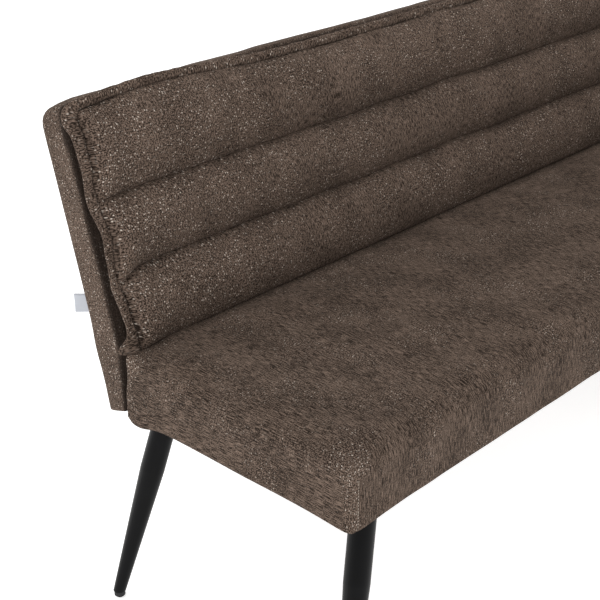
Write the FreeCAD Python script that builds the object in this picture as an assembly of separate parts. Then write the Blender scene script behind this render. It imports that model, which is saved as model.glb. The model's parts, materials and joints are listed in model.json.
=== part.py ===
"""Upholstered corner bench: a long bench and a short bench that meet in a right-angled corner.

Both benches share one set of sections. Each is drawn in its own axes: u runs along the bench from
its free end to the corner, v runs from the seat's front to its back, z is up from the floor.
The long bench lies along X. The short bench is the mirror image across the corner's mitre plane.
"""
import FreeCAD, Part
import math
import os
from FreeCAD import Vector

# Overall sizes
seat_depth = 510.0
long_seat_length = 1800.0
short_seat_length = 900.0
underside_height = 366.0
seat_thickness = 122.0
seat_fall = 6.0
seat_crown = 15.0
back_slope_length = 424.0
back_thickness = 74.0
recline_angle = 15.6

# Upholstery
cover_thickness = 2.0
seat_wadding = 12.0
back_wadding = 12.0
seat_top_radius = 40.0
crown_run_share = 0.45
seat_bottom_radius = 9.0
seat_rear_radius = 14.0
seat_corner_radius = 16.0
bench_gap = 1.0
back_gap = 0.5
mitre_gap = 1.0

# Outer back section
back_bottom_lift = 9.0
back_foot_depth = 42.0
back_rear_bend_height = 20.0
back_top_front_radius = 13.0
back_top_rear_radius = 34.0
back_knee_radius = 60.0
back_rear_bend_radius = 130.0
back_foot_radius = 7.0
back_edge_radius = 9.0
back_window_margin = 30.0

# Channelled pad
pad_gap = 0.5
pad_seat_clearance = 1.0
pad_end_inset = 5.0
flange_width = 19.0
flange_thickness = 7.0
channel_depth = 32.0
channel_seams = (131.0, 267.0, 404.0)
pad_end_run = 46.0
pad_end_run_shares = (0.0, 0.3, 1.0)
pad_end_bulge_shares = (0.3, 0.78, 1.0)

# Timber frame
rail_thickness = 22.0
rail_height = 62.0
corner_block_side = 62.0
corner_block_height = 40.0
web_width = 60.0
web_pitch = 110.0
web_thickness = 2.0
dust_cover_thickness = 1.5
dust_cover_clearance = 0.3

# Back frame
lower_rail_thickness = 18.0
lower_rail_height = 80.0
lower_rail_lift = 2.0
back_board_thickness = 6.0
board_start = 8.0
top_rail_height = 30.0
rib_thickness = 18.0
rib_spacing = 520.0
rib_lift = 12.0

# Fasteners
bolt_diameter = 8.0
bolt_head_diameter = 16.0
bolt_head_height = 4.0
bolt_height = 42.0
bolt_tail = 4.0
tee_nut_diameter = 22.0
tee_nut_thickness = 2.0
hole_clearance = 0.3
screw_diameter = 5.0
screw_head_diameter = 10.0
screw_head_height = 2.5
screw_length = 30.0

# Legs
leg_top_diameter = 43.0
leg_tip_diameter = 22.0
leg_wall = 1.5
leg_straight_drop = 108.0
leg_end_inset = 55.0
leg_front_inset = 24.0
leg_rear_inset = 41.0
leg_end_splay = 15.1
leg_depth_splay = 7.6
plate_thickness = 3.0
plate_side = 100.0
plate_edge_inset = 6.0
plate_screw_near = 25.0
plate_screw_far = 92.0
plate_screw_inner = 80.0

# Adjustable feet
foot_height = 13.0
foot_diameter = 20.0
foot_chamfer = 3.5
foot_seat_clearance = 0.3
stud_diameter = 8.0
stud_length = 14.0
stud_clearance = 0.3
plug_length = 17.0
plug_clearance = 0.2

# Joint between the benches
joint_plate_length = 120.0
joint_plate_width = 40.0
joint_plate_inset = 150.0

# Textile tag
tag_height = 31.0
tag_reach = 23.0
tag_thickness = 1.0
tag_centre_height = 181.5
tag_seat_clearance = 0.2

# One overrun serves every cut
overrun = 5.0

# Places worked out from the sizes
recline = math.radians(recline_angle)
knee_height = underside_height + seat_thickness - seat_fall + pad_seat_clearance
back_plane = seat_depth + back_gap
back_bottom = underside_height + back_bottom_lift
frame_inset = cover_thickness + seat_wadding
frame_bottom = underside_height + dust_cover_thickness
frame_top = frame_bottom + rail_height
board_depth = cover_thickness + back_board_thickness
rib_depth = back_thickness - back_wadding
short_origin = Vector(long_seat_length - seat_depth, -short_seat_length, 0)

parts = {}


def on_back(slope, forward):
    """Place (v, z) at a length up the back's front plane and a distance in front of it."""
    return (
        back_plane + slope * math.sin(recline) - forward * math.cos(recline),
        knee_height + slope * math.cos(recline) + forward * math.sin(recline),
    )


def knee(depth):
    """Place (v, z) where the upright and reclined front lines meet, a depth behind the front."""
    return (back_plane + depth, knee_height - depth * math.tan(recline / 2))


def section(point, axis, place):
    """Turn a flat place into a point in space, across the named axis."""
    if axis == "u":
        return Vector(place, point[0], point[1])
    if axis == "v":
        return Vector(point[0], place, point[1])
    return Vector(point[0], point[1], place)


def rounded_outline(corners, axis, place):
    """Closed wire through corners (a, b, radius), each rounded by a tangent arc."""
    edges = []
    starts = []
    ends = []
    middles = []
    count = len(corners)
    for index, corner in enumerate(corners):
        here = Vector(corner[0], corner[1], 0)
        before = Vector(corners[index - 1][0], corners[index - 1][1], 0)
        after = Vector(corners[(index + 1) % count][0], corners[(index + 1) % count][1], 0)
        back = (before - here).normalize()
        ahead = (after - here).normalize()
        half = back.getAngle(ahead) / 2
        run = corner[2] / math.tan(half)
        inward = (back + ahead).normalize()
        centre = here + inward * (corner[2] / math.sin(half))
        starts.append(here + back * run)
        ends.append(here + ahead * run)
        middles.append(centre - inward * corner[2])
    for index, corner in enumerate(corners):
        start = section(starts[index], axis, place)
        end = section(ends[index], axis, place)
        if corner[2] > 0:
            edges.append(Part.Arc(start, section(middles[index], axis, place), end).toShape())
        following = section(starts[(index + 1) % count], axis, place)
        edges.append(Part.LineSegment(end, following).toShape())
    return Part.Wire(edges)


def prism(corners, axis, start, end):
    """Solid of a rounded outline, swept along an axis from start to end."""
    sweep = section((0, 0), axis, end - start)
    return Part.Face(rounded_outline(corners, axis, start)).extrude(sweep)


def plain(points):
    """Corners with no rounding."""
    return [(a, b, 0) for a, b in points]


def block(start, end):
    """Box between two corners."""
    size = end - start
    return Part.makeBox(size.x, size.y, size.z, start)


def rod(start, direction, diameter, length):
    """Round bar from a point along a direction."""
    return Part.makeCylinder(diameter / 2, length, start, direction)


def group(solids):
    """Several separate solids of one kind."""
    return Part.makeCompound(solids)


def seat_form(length, inset, floor, meets_back):
    """Seat block, drawn in by an inset: crowned top, rounded edges and upright corners.

    An end that meets a back falls towards it, as the rear edge does.
    """
    near = inset
    far = seat_depth - inset
    top = underside_height + seat_thickness - inset
    crest = (far - near) / 2
    rise = math.atan2(seat_crown, crest) + math.atan2(seat_crown + seat_fall, crest)
    crown_radius = crown_run_share * crest / math.tan(rise / 2)
    side = [
        (near, floor, seat_bottom_radius),
        (near, top, seat_top_radius - inset),
        (near + crest, top + seat_crown, crown_radius),
        (far, top - seat_fall, seat_rear_radius - inset),
        (far, floor, 0),
    ]
    ends = [
        (inset, floor, seat_bottom_radius),
        (inset, top + seat_crown, seat_top_radius - inset),
    ]
    if meets_back:
        fall_angle = math.atan2(seat_crown + seat_fall, crest)
        fall_radius = crown_run_share * crest / math.tan(fall_angle / 2)
        ends.append((length - inset - crest, top + seat_crown, fall_radius))
        ends.append((length - inset, top - seat_fall, seat_rear_radius - inset))
        ends.append((length - inset, floor, 0))
    else:
        ends.append((length - inset, top + seat_crown, seat_top_radius - inset))
        ends.append((length - inset, floor, seat_bottom_radius))
    plan = [
        (inset, near, seat_corner_radius - inset),
        (length - inset, near, seat_corner_radius - inset),
        (length - inset, far, seat_corner_radius - inset),
        (inset, far, seat_corner_radius - inset),
    ]
    form = prism(side, "u", 0, length)
    form = form.common(prism(ends, "v", 0, seat_depth))
    return form.common(prism(plan, "z", floor, top + seat_crown + overrun))


def corner_side(corner, gap):
    """Everything beyond the upright mitre plane, a gap short of it."""
    reach = seat_depth + back_thickness + back_slope_length
    first = (corner - seat_depth - gap, 0)
    last = (first[0] + reach, reach)
    return prism(
        plain([first, last, (last[0] + reach, last[1]), (last[0] + reach, first[1])]),
        "z",
        0,
        knee_height + back_slope_length + reach,
    )


def back_form(corner, inset):
    """Outer back, drawn in by an inset: rounded top, curved-in lower rear, soft free end."""
    rear = inset - back_thickness
    top = back_slope_length - inset
    bend = on_back(back_rear_bend_height, rear)
    outline = [
        (back_plane + inset, back_bottom + inset, back_foot_radius - inset),
        (*knee(inset), back_knee_radius),
        (*on_back(top, -inset), back_top_front_radius - inset),
        (*on_back(top, rear), back_top_rear_radius - inset),
        (*bend, back_rear_bend_radius),
        (back_plane + back_foot_depth - inset, back_bottom + inset, back_foot_radius - inset),
    ]
    form = prism(outline, "u", inset, corner + seat_depth)
    free_end = [edge for edge in form.Edges if edge.BoundBox.XMax < inset + back_edge_radius]
    form = form.makeFillet(back_edge_radius - inset, free_end)
    return form.cut(corner_side(corner, mitre_gap + inset))


def pad_outline(place, inset, bulge_share, rear):
    """Pad section: flat behind, one arc across each channel in front."""
    base = pad_gap + rear
    seam = pad_gap + flange_thickness - inset
    top = channel_seams[-1] - inset
    levels = [inset] + list(channel_seams[:-1]) + [top]
    edges = []
    corner_low = section(on_back(inset, base), "u", place)
    corner_high = section(on_back(top, base), "u", place)
    edges.append(Part.LineSegment(corner_low, corner_high).toShape())
    start = section(on_back(top, seam), "u", place)
    edges.append(Part.LineSegment(corner_high, start).toShape())
    for upper, lower in zip(levels[:0:-1], levels[-2::-1]):
        crest = seam + channel_depth * bulge_share
        middle = section(on_back((upper + lower) / 2, crest), "u", place)
        end = section(on_back(lower, seam), "u", place)
        edges.append(Part.Arc(start, middle, end).toShape())
        start = end
    edges.append(Part.LineSegment(start, corner_low).toShape())
    return Part.Wire(edges)


def pad_form(corner, inset, rear):
    """Channelled pad whose free end draws in to its flange."""
    start = pad_end_inset + flange_width + inset
    wires = []
    for run_share, bulge_share in zip(pad_end_run_shares, pad_end_bulge_shares):
        wires.append(pad_outline(start + pad_end_run * run_share, inset, bulge_share, rear))
    wires.append(pad_outline(corner + seat_depth, inset, pad_end_bulge_shares[-1], rear))
    form = Part.makeLoft(wires, True, True)
    return form.cut(corner_side(corner, mitre_gap + inset))


def pad_flange(corner):
    """Flat sewn border behind the pad, past its top and its free end."""
    outline = plain(
        [
            on_back(0, pad_gap),
            on_back(channel_seams[-1] + flange_width, pad_gap),
            on_back(channel_seams[-1] + flange_width, pad_gap + flange_thickness),
            on_back(0, pad_gap + flange_thickness),
        ]
    )
    border = prism(outline, "u", pad_end_inset, corner + seat_depth)
    return border.cut(corner_side(corner, mitre_gap))


def spread(start, end, spacing):
    """Even places from start to end, no further apart than a spacing."""
    steps = max(1, math.ceil((end - start) / spacing))
    return [start + (end - start) * step / steps for step in range(steps + 1)]


def seat_pieces(length, corner):
    """Frame, webbing, foam and covers of one seat; its cross rails stand in line with the back's ribs."""
    meets_back = length == corner
    near = frame_inset
    far = seat_depth - frame_inset
    last = length - frame_inset
    inner_near = near + rail_thickness
    inner_far = far - rail_thickness
    inner_last = last - rail_thickness
    pieces = {}
    pieces["front_rail"] = block(Vector(near, near, frame_bottom), Vector(last, inner_near, frame_top))
    pieces["rear_rail"] = block(Vector(near, inner_far, frame_bottom), Vector(last, far, frame_top))
    pieces["outer_end_rail"] = block(
        Vector(near, inner_near, frame_bottom), Vector(inner_near, inner_far, frame_top)
    )
    pieces["inner_end_rail"] = block(
        Vector(inner_last, inner_near, frame_bottom), Vector(last, inner_far, frame_top)
    )
    crossings = [place for place in rib_places(corner)[1:-1] if place + rail_thickness < inner_last]
    pieces["cross_rails"] = group(
        [
            block(
                Vector(place, inner_near, frame_bottom),
                Vector(place + rail_thickness, inner_far, frame_top),
            )
            for place in crossings
        ]
    )
    blocks = []
    for u_place in (inner_near, inner_last - corner_block_side):
        for v_place in (inner_near, inner_far - corner_block_side):
            base = Vector(u_place, v_place, frame_bottom)
            blocks.append(
                block(base, base + Vector(corner_block_side, corner_block_side, corner_block_height))
            )
    pieces["corner_blocks"] = group(blocks)
    web_top = frame_top + web_thickness
    webs = spread(inner_near, inner_last - web_width, web_pitch)
    pieces["seat_webbing"] = group(
        [
            block(Vector(place, near, frame_top), Vector(place + web_width, far, web_top))
            for place in webs
        ]
    )
    form = seat_form(length, cover_thickness, frame_bottom, meets_back)
    hollow = block(
        Vector(near, near, frame_bottom - overrun), Vector(last, far, web_top)
    )
    pieces["seat_foam"] = form.cut(hollow)
    inside = seat_form(length, cover_thickness, underside_height - overrun, meets_back)
    pieces["seat_cover"] = seat_form(length, 0, underside_height, meets_back).cut(inside)
    lip = cover_thickness + dust_cover_clearance + seat_bottom_radius
    pieces["dust_cover"] = block(
        Vector(lip, lip, underside_height), Vector(length - lip, seat_depth - lip, frame_bottom)
    )
    return pieces


def back_pieces(corner):
    """Frame, wadding, covers and pad of one back."""
    pieces = {}
    rail_near = back_plane + cover_thickness
    rail_far = rail_near + lower_rail_thickness
    rail_low = back_bottom + back_foot_radius + lower_rail_lift
    rail_high = rail_low + lower_rail_height
    start = cover_thickness + back_wadding
    beyond = corner + seat_depth
    frame_gap = mitre_gap + start
    frame_high = back_slope_length - start
    rib_high = frame_high - top_rail_height
    rear_low = back_plane + back_foot_depth - back_wadding
    rib_low = back_bottom + rib_lift
    far_side = corner_side(corner, frame_gap)

    rail = [(rail_near, rail_low), (rail_near, rail_high), (rail_far, rail_high), (rail_far, rail_low)]
    pieces["back_lower_rail"] = prism(plain(rail), "u", start, beyond).cut(far_side)
    board = [
        on_back(board_start, -cover_thickness),
        on_back(frame_high, -cover_thickness),
        on_back(frame_high, -board_depth),
        on_back(board_start, -board_depth),
    ]
    pieces["back_board"] = prism(plain(board), "u", start, beyond).cut(far_side)
    cap = [
        on_back(rib_high, -board_depth),
        on_back(frame_high, -board_depth),
        on_back(frame_high, -rib_depth),
        on_back(rib_high, -rib_depth),
    ]
    pieces["back_top_rail"] = prism(plain(cap), "u", start, beyond).cut(far_side)
    rib = [
        (rail_far, rib_low),
        (rail_far, rail_high),
        (back_plane + board_depth, rail_high),
        knee(board_depth),
        on_back(rib_high, -board_depth),
        on_back(rib_high, -rib_depth),
        on_back(back_rear_bend_height, -rib_depth),
        (rear_low, rib_low),
    ]
    pieces["back_ribs"] = group(
        [prism(plain(rib), "u", place, place + rib_thickness) for place in rib_places(corner)]
    )
    hollow = [
        (rail_near, back_bottom - overrun),
        knee(cover_thickness),
        on_back(frame_high, -cover_thickness),
        on_back(frame_high, -rib_depth),
        on_back(back_rear_bend_height, -rib_depth),
        (rear_low, rib_low),
        (rear_low, back_bottom - overrun),
    ]
    inside = back_form(corner, cover_thickness)
    pieces["back_wadding"] = inside.cut(prism(plain(hollow), "u", start, beyond + overrun))
    window = [
        on_back(back_window_margin, overrun),
        on_back(back_slope_length - back_window_margin, overrun),
        on_back(back_slope_length - back_window_margin, -cover_thickness),
        on_back(back_window_margin, -cover_thickness),
    ]
    opening = prism(plain(window), "u", back_window_margin, beyond)
    opening = opening.cut(corner_side(corner, mitre_gap + back_window_margin))
    pieces["back_cover"] = back_form(corner, 0).cut(inside).cut(opening)
    filling = pad_form(corner, cover_thickness, 0)
    cavity = pad_form(corner, cover_thickness, -overrun)
    pieces["pad_foam"] = filling
    pieces["pad_cover"] = pad_form(corner, 0, 0).fuse(pad_flange(corner)).cut(cavity)
    return pieces


def rib_places(corner):
    """Places of the back's ribs along the bench."""
    start = cover_thickness + back_wadding
    return spread(start, corner - rib_thickness - start, rib_spacing)


def bolt_sets(corner):
    """Bolts, tee nuts and clearance holes that fasten one back to the seat frames."""
    near = seat_depth - frame_inset - rail_thickness
    far = back_plane + cover_thickness + lower_rail_thickness
    height = underside_height + bolt_height
    along = Vector(0, 1, 0)
    bolts = []
    nuts = []
    holes = []
    ribs = rib_places(corner)
    for before, after in zip(ribs[:-1], ribs[1:]):
        base = Vector((before + after + rib_thickness) / 2, near, height)
        head = rod(base - along * bolt_head_height, along, bolt_head_diameter, bolt_head_height)
        end = far + tee_nut_thickness + bolt_tail
        bolts.append(head.fuse(rod(base, along, bolt_diameter, end - near)))
        bore = bolt_diameter + 2 * hole_clearance
        holes.append(rod(base - along * overrun, along, bore, end - near + 2 * overrun))
        seat = Vector(base.x, far, height)
        nut = rod(seat, along, tee_nut_diameter, tee_nut_thickness)
        nuts.append(nut.cut(rod(seat - along * overrun, along, bore, tee_nut_thickness + 2 * overrun)))
    return bolts, nuts, holes


def to_short(shape):
    """Carry a shape from the shared bench axes to the short bench's place."""
    swapped = shape.mirror(Vector(0, 0, 0), Vector(1, -1, 0))
    return swapped.translated(short_origin)


def to_long(shape):
    """The shared bench axes are the long bench's own."""
    return shape


def leg_solids(top, lean):
    """Tube, threaded plug, adjustable foot of one leg, from its top centre and its lean."""
    down = Vector(lean[0], lean[1], -1)
    stretch = down.Length
    axis = Vector(down).normalize()
    straight = leg_straight_drop * stretch
    taper = (top.z - foot_height - leg_straight_drop) * stretch
    bend = top + axis * straight
    outer_top = leg_top_diameter / 2
    outer_tip = leg_tip_diameter / 2
    inner_top = outer_top - leg_wall
    inner_tip = outer_tip - leg_wall
    spare = leg_top_diameter
    fall = (outer_top - outer_tip) / taper * spare
    outer = Part.makeCylinder(outer_top, straight + spare, top - axis * spare, axis)
    outer = outer.fuse(Part.makeCone(outer_top, outer_tip - fall, taper + spare, bend, axis))
    inner = Part.makeCylinder(inner_top, straight + spare, top - axis * spare, axis)
    inner = inner.fuse(Part.makeCone(inner_top, inner_tip - fall, taper + spare, bend, axis))
    reach = Vector(top.z, top.z, 0)
    slab = block(Vector(top.x, top.y, foot_height) - reach, top + reach)
    tube = outer.cut(inner).common(slab)

    tip = top + down * (top.z - foot_height)
    upright = Vector(0, 0, 1)
    core = Part.makeCone(
        inner_top - plug_clearance, inner_tip - fall - plug_clearance, taper + spare, bend, axis
    )
    seat = block(
        Vector(tip.x, tip.y, foot_height) - reach, Vector(tip.x, tip.y, foot_height + plug_length) + reach
    )
    bore = stud_diameter + 2 * stud_clearance
    plug = core.common(seat).cut(rod(tip - upright * overrun, upright, bore, plug_length + 2 * overrun))

    crown = foot_height - foot_seat_clearance
    floor_point = Vector(tip.x, tip.y, 0)
    pad_radius = foot_diameter / 2
    bevel = Part.makeCone(pad_radius - foot_chamfer, pad_radius, foot_chamfer, floor_point, upright)
    body = rod(floor_point + upright * foot_chamfer, upright, foot_diameter, crown - foot_chamfer)
    stud = rod(floor_point + upright * crown, upright, stud_diameter, stud_length)
    foot = bevel.fuse(body).fuse(stud).removeSplitter()
    return tube, plug, foot


def plate_solids(corner, inward):
    """Leg plate and its screws at one seat corner; inward gives the signs of u and v."""
    def at(u_run, v_run, height):
        return Vector(corner[0] + inward[0] * u_run, corner[1] + inward[1] * v_run, height)

    low = underside_height - plate_thickness
    first = at(plate_edge_inset, plate_edge_inset, low)
    last = at(plate_edge_inset + plate_side, plate_edge_inset + plate_side, underside_height)
    start = Vector(min(first.x, last.x), min(first.y, last.y), low)
    end = Vector(max(first.x, last.x), max(first.y, last.y), underside_height)
    plate = block(start, end)
    screws = []
    holes = []
    runs = (
        (plate_screw_far, plate_screw_near),
        (plate_screw_near, plate_screw_far),
        (plate_screw_inner, plate_screw_inner),
    )
    for u_run, v_run in runs:
        screw, hole = wood_screw(at(u_run, v_run, low))
        screws.append(screw)
        holes.append(hole)
        plate = plate.cut(hole)
    return plate, screws, holes


def wood_screw(base):
    """Screw driven upwards from below a plate, and its clearance hole."""
    upright = Vector(0, 0, 1)
    head = rod(base - upright * screw_head_height, upright, screw_head_diameter, screw_head_height)
    screw = head.fuse(rod(base, upright, screw_diameter, screw_length))
    bore = screw_diameter + 2 * hole_clearance
    return screw, rod(base - upright * overrun, upright, bore, screw_length + 2 * overrun)


def drill(names, holes):
    """Cut clearance holes through the named pieces."""
    for name in names:
        shape = parts[name]
        for hole in holes:
            if shape.BoundBox.intersect(hole.BoundBox):
                shape = shape.cut(hole)
        parts[name] = shape


benches = {
    "long": (long_seat_length, long_seat_length, to_long),
    "short": (short_seat_length - bench_gap, short_seat_length + seat_depth, to_short),
}

# Seats and backs
back_holes = []
for bench, (length, corner, carry) in benches.items():
    for name, shape in seat_pieces(length, corner).items():
        parts[bench + "_" + name] = carry(shape)
    for name, shape in back_pieces(corner).items():
        parts[bench + "_" + name] = carry(shape)
    bolts, nuts, holes = bolt_sets(corner)
    parts[bench + "_back_bolts"] = carry(group(bolts))
    parts[bench + "_back_tee_nuts"] = carry(group(nuts))
    back_holes += [carry(hole) for hole in holes]

drilled_by_bolts = []
for bench in benches:
    for name in ("rear_rail", "inner_end_rail", "seat_foam", "seat_cover", "back_cover", "back_lower_rail"):
        drilled_by_bolts.append(bench + "_" + name)
drill(drilled_by_bolts, back_holes)

# Legs: four corners of the long seat, and the free end of the short one
end_lean = math.tan(math.radians(leg_end_splay))
depth_lean = math.tan(math.radians(leg_depth_splay))
plate_list = []
plug_list = []
screw_list = []
screw_holes = []
leg_number = 0
for bench, (length, corner, carry) in benches.items():
    ends = [(0, 1)]
    if bench == "long":
        ends.append((length, -1))
    for end_place, end_sign in ends:
        sides = ((0, 1, leg_front_inset), (seat_depth, -1, leg_rear_inset))
        for side_place, side_sign, side_inset in sides:
            leg_number += 1
            top = Vector(
                end_place + end_sign * leg_end_inset,
                side_place + side_sign * side_inset,
                underside_height - plate_thickness,
            )
            lean = (-end_sign * end_lean, -side_sign * depth_lean)
            tube, plug, foot = leg_solids(top, lean)
            plate, screws, holes = plate_solids((end_place, side_place), (end_sign, side_sign))
            parts["leg_" + str(leg_number)] = carry(tube)
            parts["foot_" + str(leg_number)] = carry(foot)
            plug_list.append(carry(plug))
            plate_list.append(carry(plate))
            screw_list += [carry(screw) for screw in screws]
            screw_holes += [carry(hole) for hole in holes]
parts["leg_plates"] = group(plate_list)
parts["leg_plugs"] = group(plug_list)
parts["leg_screws"] = group(screw_list)

# Joint plates under the seam between the two seats
joint_plates = []
joint_screws = []
seat_b_start = long_seat_length - seat_depth
rail_middle = frame_inset + rail_thickness / 2
for place in (seat_b_start + joint_plate_inset, long_seat_length - joint_plate_inset):
    start = Vector(
        place - joint_plate_width / 2, -joint_plate_length / 2, underside_height - plate_thickness
    )
    plate = block(start, start + Vector(joint_plate_width, joint_plate_length, plate_thickness))
    for depth in (rail_middle, -bench_gap - rail_middle):
        screw, hole = wood_screw(Vector(place, depth, underside_height - plate_thickness))
        joint_screws.append(screw)
        screw_holes.append(hole)
        plate = plate.cut(hole)
    joint_plates.append(plate)
parts["joint_plates"] = group(joint_plates)
parts["joint_screws"] = group(joint_screws)

drilled_by_screws = []
for bench in benches:
    for name in ("front_rail", "rear_rail", "outer_end_rail", "inner_end_rail"):
        drilled_by_screws.append(bench + "_" + name)
    for name in ("corner_blocks", "dust_cover"):
        drilled_by_screws.append(bench + "_" + name)
drill(drilled_by_screws, screw_holes)

# Blank textile tag in the rear edge seam of the long back's free end
seam_drop = back_edge_radius * (math.sqrt(2) - 1) - tag_seat_clearance
outward = Vector(-1, 1, 0).normalize()
tag_points = []
for height, reach in (
    (-tag_height / 2, 0),
    (tag_height / 2, 0),
    (tag_height / 2, tag_reach),
    (-tag_height / 2, tag_reach),
):
    level = underside_height + tag_centre_height + height
    slope = (level - knee_height + back_thickness * math.sin(recline)) / math.cos(recline)
    edge = Vector(0, on_back(slope, -back_thickness)[0], level)
    tag_points.append(edge + outward * (reach - seam_drop))
tag_face = Part.Face(Part.makePolygon(tag_points + tag_points[:1]))
parts["textile_tag"] = tag_face.extrude(Vector(1, 1, 0).normalize() * tag_thickness)

# The origin is on the floor, under the middle of the whole bench's box
whole = Part.makeCompound(list(parts.values())).optimalBoundingBox(False)
shift = Vector(-whole.Center.x, -whole.Center.y, 0)

os.makedirs("parts", exist_ok=True)
for name, shape in parts.items():
    placed = shape.translated(shift)
    placed.exportStep("parts/" + name + ".step")
    print(name, len(placed.Solids), "solids, valid:", placed.isValid())
print("moved by", shift)
print("box before the move", whole)
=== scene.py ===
"""Looks of an upholstered corner bench: flecked chenille covers, channelled back pads and black legs.

Every length is in metres. Soft pieces are drawn in bench axes: u runs along a bench from its free end
to the corner, v from the seat's front to its back, z up from the floor.
"""

import json
import logging
import math
from dataclasses import dataclass, field
from enum import Enum
from typing import Any

import bmesh
import bpy
import numpy as np
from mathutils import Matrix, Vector


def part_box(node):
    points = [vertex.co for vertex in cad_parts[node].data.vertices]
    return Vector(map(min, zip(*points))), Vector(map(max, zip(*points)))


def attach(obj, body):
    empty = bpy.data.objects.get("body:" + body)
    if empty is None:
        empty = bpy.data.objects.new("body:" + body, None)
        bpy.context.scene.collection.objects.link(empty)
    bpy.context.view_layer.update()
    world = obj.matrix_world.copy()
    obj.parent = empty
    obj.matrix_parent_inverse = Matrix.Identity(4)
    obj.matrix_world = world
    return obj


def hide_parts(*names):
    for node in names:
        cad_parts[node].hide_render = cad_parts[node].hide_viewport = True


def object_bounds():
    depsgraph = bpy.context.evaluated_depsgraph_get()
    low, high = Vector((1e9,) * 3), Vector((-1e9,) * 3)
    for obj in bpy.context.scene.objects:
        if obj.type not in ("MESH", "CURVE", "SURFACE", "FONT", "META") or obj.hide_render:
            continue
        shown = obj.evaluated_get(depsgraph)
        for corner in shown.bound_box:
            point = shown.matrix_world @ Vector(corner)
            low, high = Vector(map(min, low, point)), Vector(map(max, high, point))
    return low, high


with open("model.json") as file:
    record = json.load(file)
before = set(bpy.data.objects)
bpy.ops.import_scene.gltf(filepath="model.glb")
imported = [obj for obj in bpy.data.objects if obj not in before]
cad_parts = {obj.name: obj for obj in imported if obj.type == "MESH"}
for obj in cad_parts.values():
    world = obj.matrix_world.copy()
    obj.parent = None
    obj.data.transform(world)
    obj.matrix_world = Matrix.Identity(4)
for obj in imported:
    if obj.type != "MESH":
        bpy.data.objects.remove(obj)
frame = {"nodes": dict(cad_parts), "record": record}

LOG = logging.getLogger("corner_bench")
CAD_LOW, CAD_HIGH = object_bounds()
BODY = "bench"
WEAVE_MAP = "weave"
STRETCH = "stretch"
# Vertex attribute that carries painted shade in tucks and seams.
PAINTED_SHADE = "tuck"
TINY = 1e-6
MITRE_FROM_SHARE = 0.72

Colour = tuple[float, float, float]
Place = tuple[float, float, float]
Span = tuple[float, float]


class Bench(Enum):
    """The two benches that meet in the corner."""

    LONG = "long"
    SHORT = "short"


class Side(Enum):
    """The six sides of a box-shaped skin, by axis and end."""

    START = (0, 0)
    END = (0, 1)
    NEAR = (1, 0)
    FAR = (1, 1)
    BASE = (2, 0)
    TOP = (2, 1)


# Small shaping helpers


def smooth_step(low: float, high: float, x: np.ndarray) -> np.ndarray:
    """Rise smoothly from 0 at low to 1 at high.

    Args:
        low: Where the rise starts.
        high: Where the rise ends.
        x: Places to read.

    Returns:
        The rise at each place.
    """
    t = np.clip((x - low) / (high - low), 0.0, 1.0)
    return t * t * (3.0 - 2.0 * t)


def round_over(x: np.ndarray, power: float = 2.0) -> np.ndarray:
    """Quarter of a rounded curve, from 0 at x = 0 to 1 at x = 1 and beyond.

    Args:
        x: Places along the run, as shares of it.
        power: 2 for a circle, more for a squarer shoulder.

    Returns:
        The height at each place.
    """
    t = np.clip(x, 0.0, 1.0)
    return (1.0 - (1.0 - t) ** power) ** (1.0 / power)


def hand_waves(points: np.ndarray, wavelength: float, seed: int, count: int = 9) -> np.ndarray:
    """Soft irregular waves in space, as of hand-stretched cloth.

    Args:
        points: Places to read, one row each.
        wavelength: Typical distance between crests.
        seed: Fixed seed of the waves' directions.
        count: How many waves are summed.

    Returns:
        Heights, mostly between -1 and 1.
    """
    draw = np.random.default_rng(seed)
    total = np.zeros(len(points))
    for _ in range(count):
        direction = draw.normal(size=3)
        direction *= 2.0 * math.pi / (wavelength * np.linalg.norm(direction))
        direction *= draw.uniform(0.7, 1.5)
        total += np.sin(points @ direction + draw.uniform(0.0, 2.0 * math.pi))
    return total / math.sqrt(count)


@dataclass(frozen=True)
class ClothWaves:
    """Long soft waves with a share of shorter ones on top."""

    long: float
    short: float
    short_share: float
    seed: int

    def at(self, points: np.ndarray) -> np.ndarray:
        """Heights of the waves at places, one row each."""
        shorter = hand_waves(points, self.short, self.seed + 1)
        return hand_waves(points, self.long, self.seed) + self.short_share * shorter


def bell(x: np.ndarray, spread: float) -> np.ndarray:
    """Bump of height 1 at x = 0 that dies out over a few spreads."""
    return np.exp(-((x / spread) ** 2))


def round_edges(
    flat: np.ndarray, core: np.ndarray, reach: np.ndarray, level_power: np.ndarray, upright_power: np.ndarray
) -> np.ndarray:
    """Bring the skin of a box onto its rounded edges.

    Args:
        flat: Places on the box, one row each.
        core: The nearest places inside all radii.
        reach: Radius along each axis.
        level_power: Squareness in plan: 2 for a circle, more for a squarer edge.
        upright_power: Squareness in section, likewise.

    Returns:
        Places on the rounded box.
    """
    share = (flat - core) / reach
    level = (np.abs(share[:, :2]) ** level_power[:, None]).sum(axis=1) ** (1.0 / level_power)
    total = (level**upright_power + np.abs(share[:, 2]) ** upright_power) ** (1.0 / upright_power)
    return core + reach * share / np.maximum(total, TINY)[:, None]


def even_stations(length: float, step: float) -> np.ndarray:
    """Shares of a length, evenly spaced about a step apart.

    Args:
        length: The whole length.
        step: Wanted distance between stations.

    Returns:
        Shares from 0 to 1.
    """
    return np.linspace(0.0, 1.0, max(2, int(round(length / step))) + 1)


def edged_stations(length: float, step: float, edge: float, count: int) -> np.ndarray:
    """Shares of a length with closer stations near both ends.

    Args:
        length: The whole length.
        step: Distance between stations in the middle.
        edge: Length of the closer stretch at each end.
        count: Stations in each closer stretch.

    Returns:
        Shares from 0 to 1.
    """
    close = edge * np.linspace(0.0, 1.0, count + 1) ** 1.5
    middle = even_stations(length - 2.0 * edge, step) * (length - 2.0 * edge) + edge
    places = np.concatenate([close[:-1], middle, length - close[::-1][1:]])
    return places / length


# Shader kit


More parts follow.
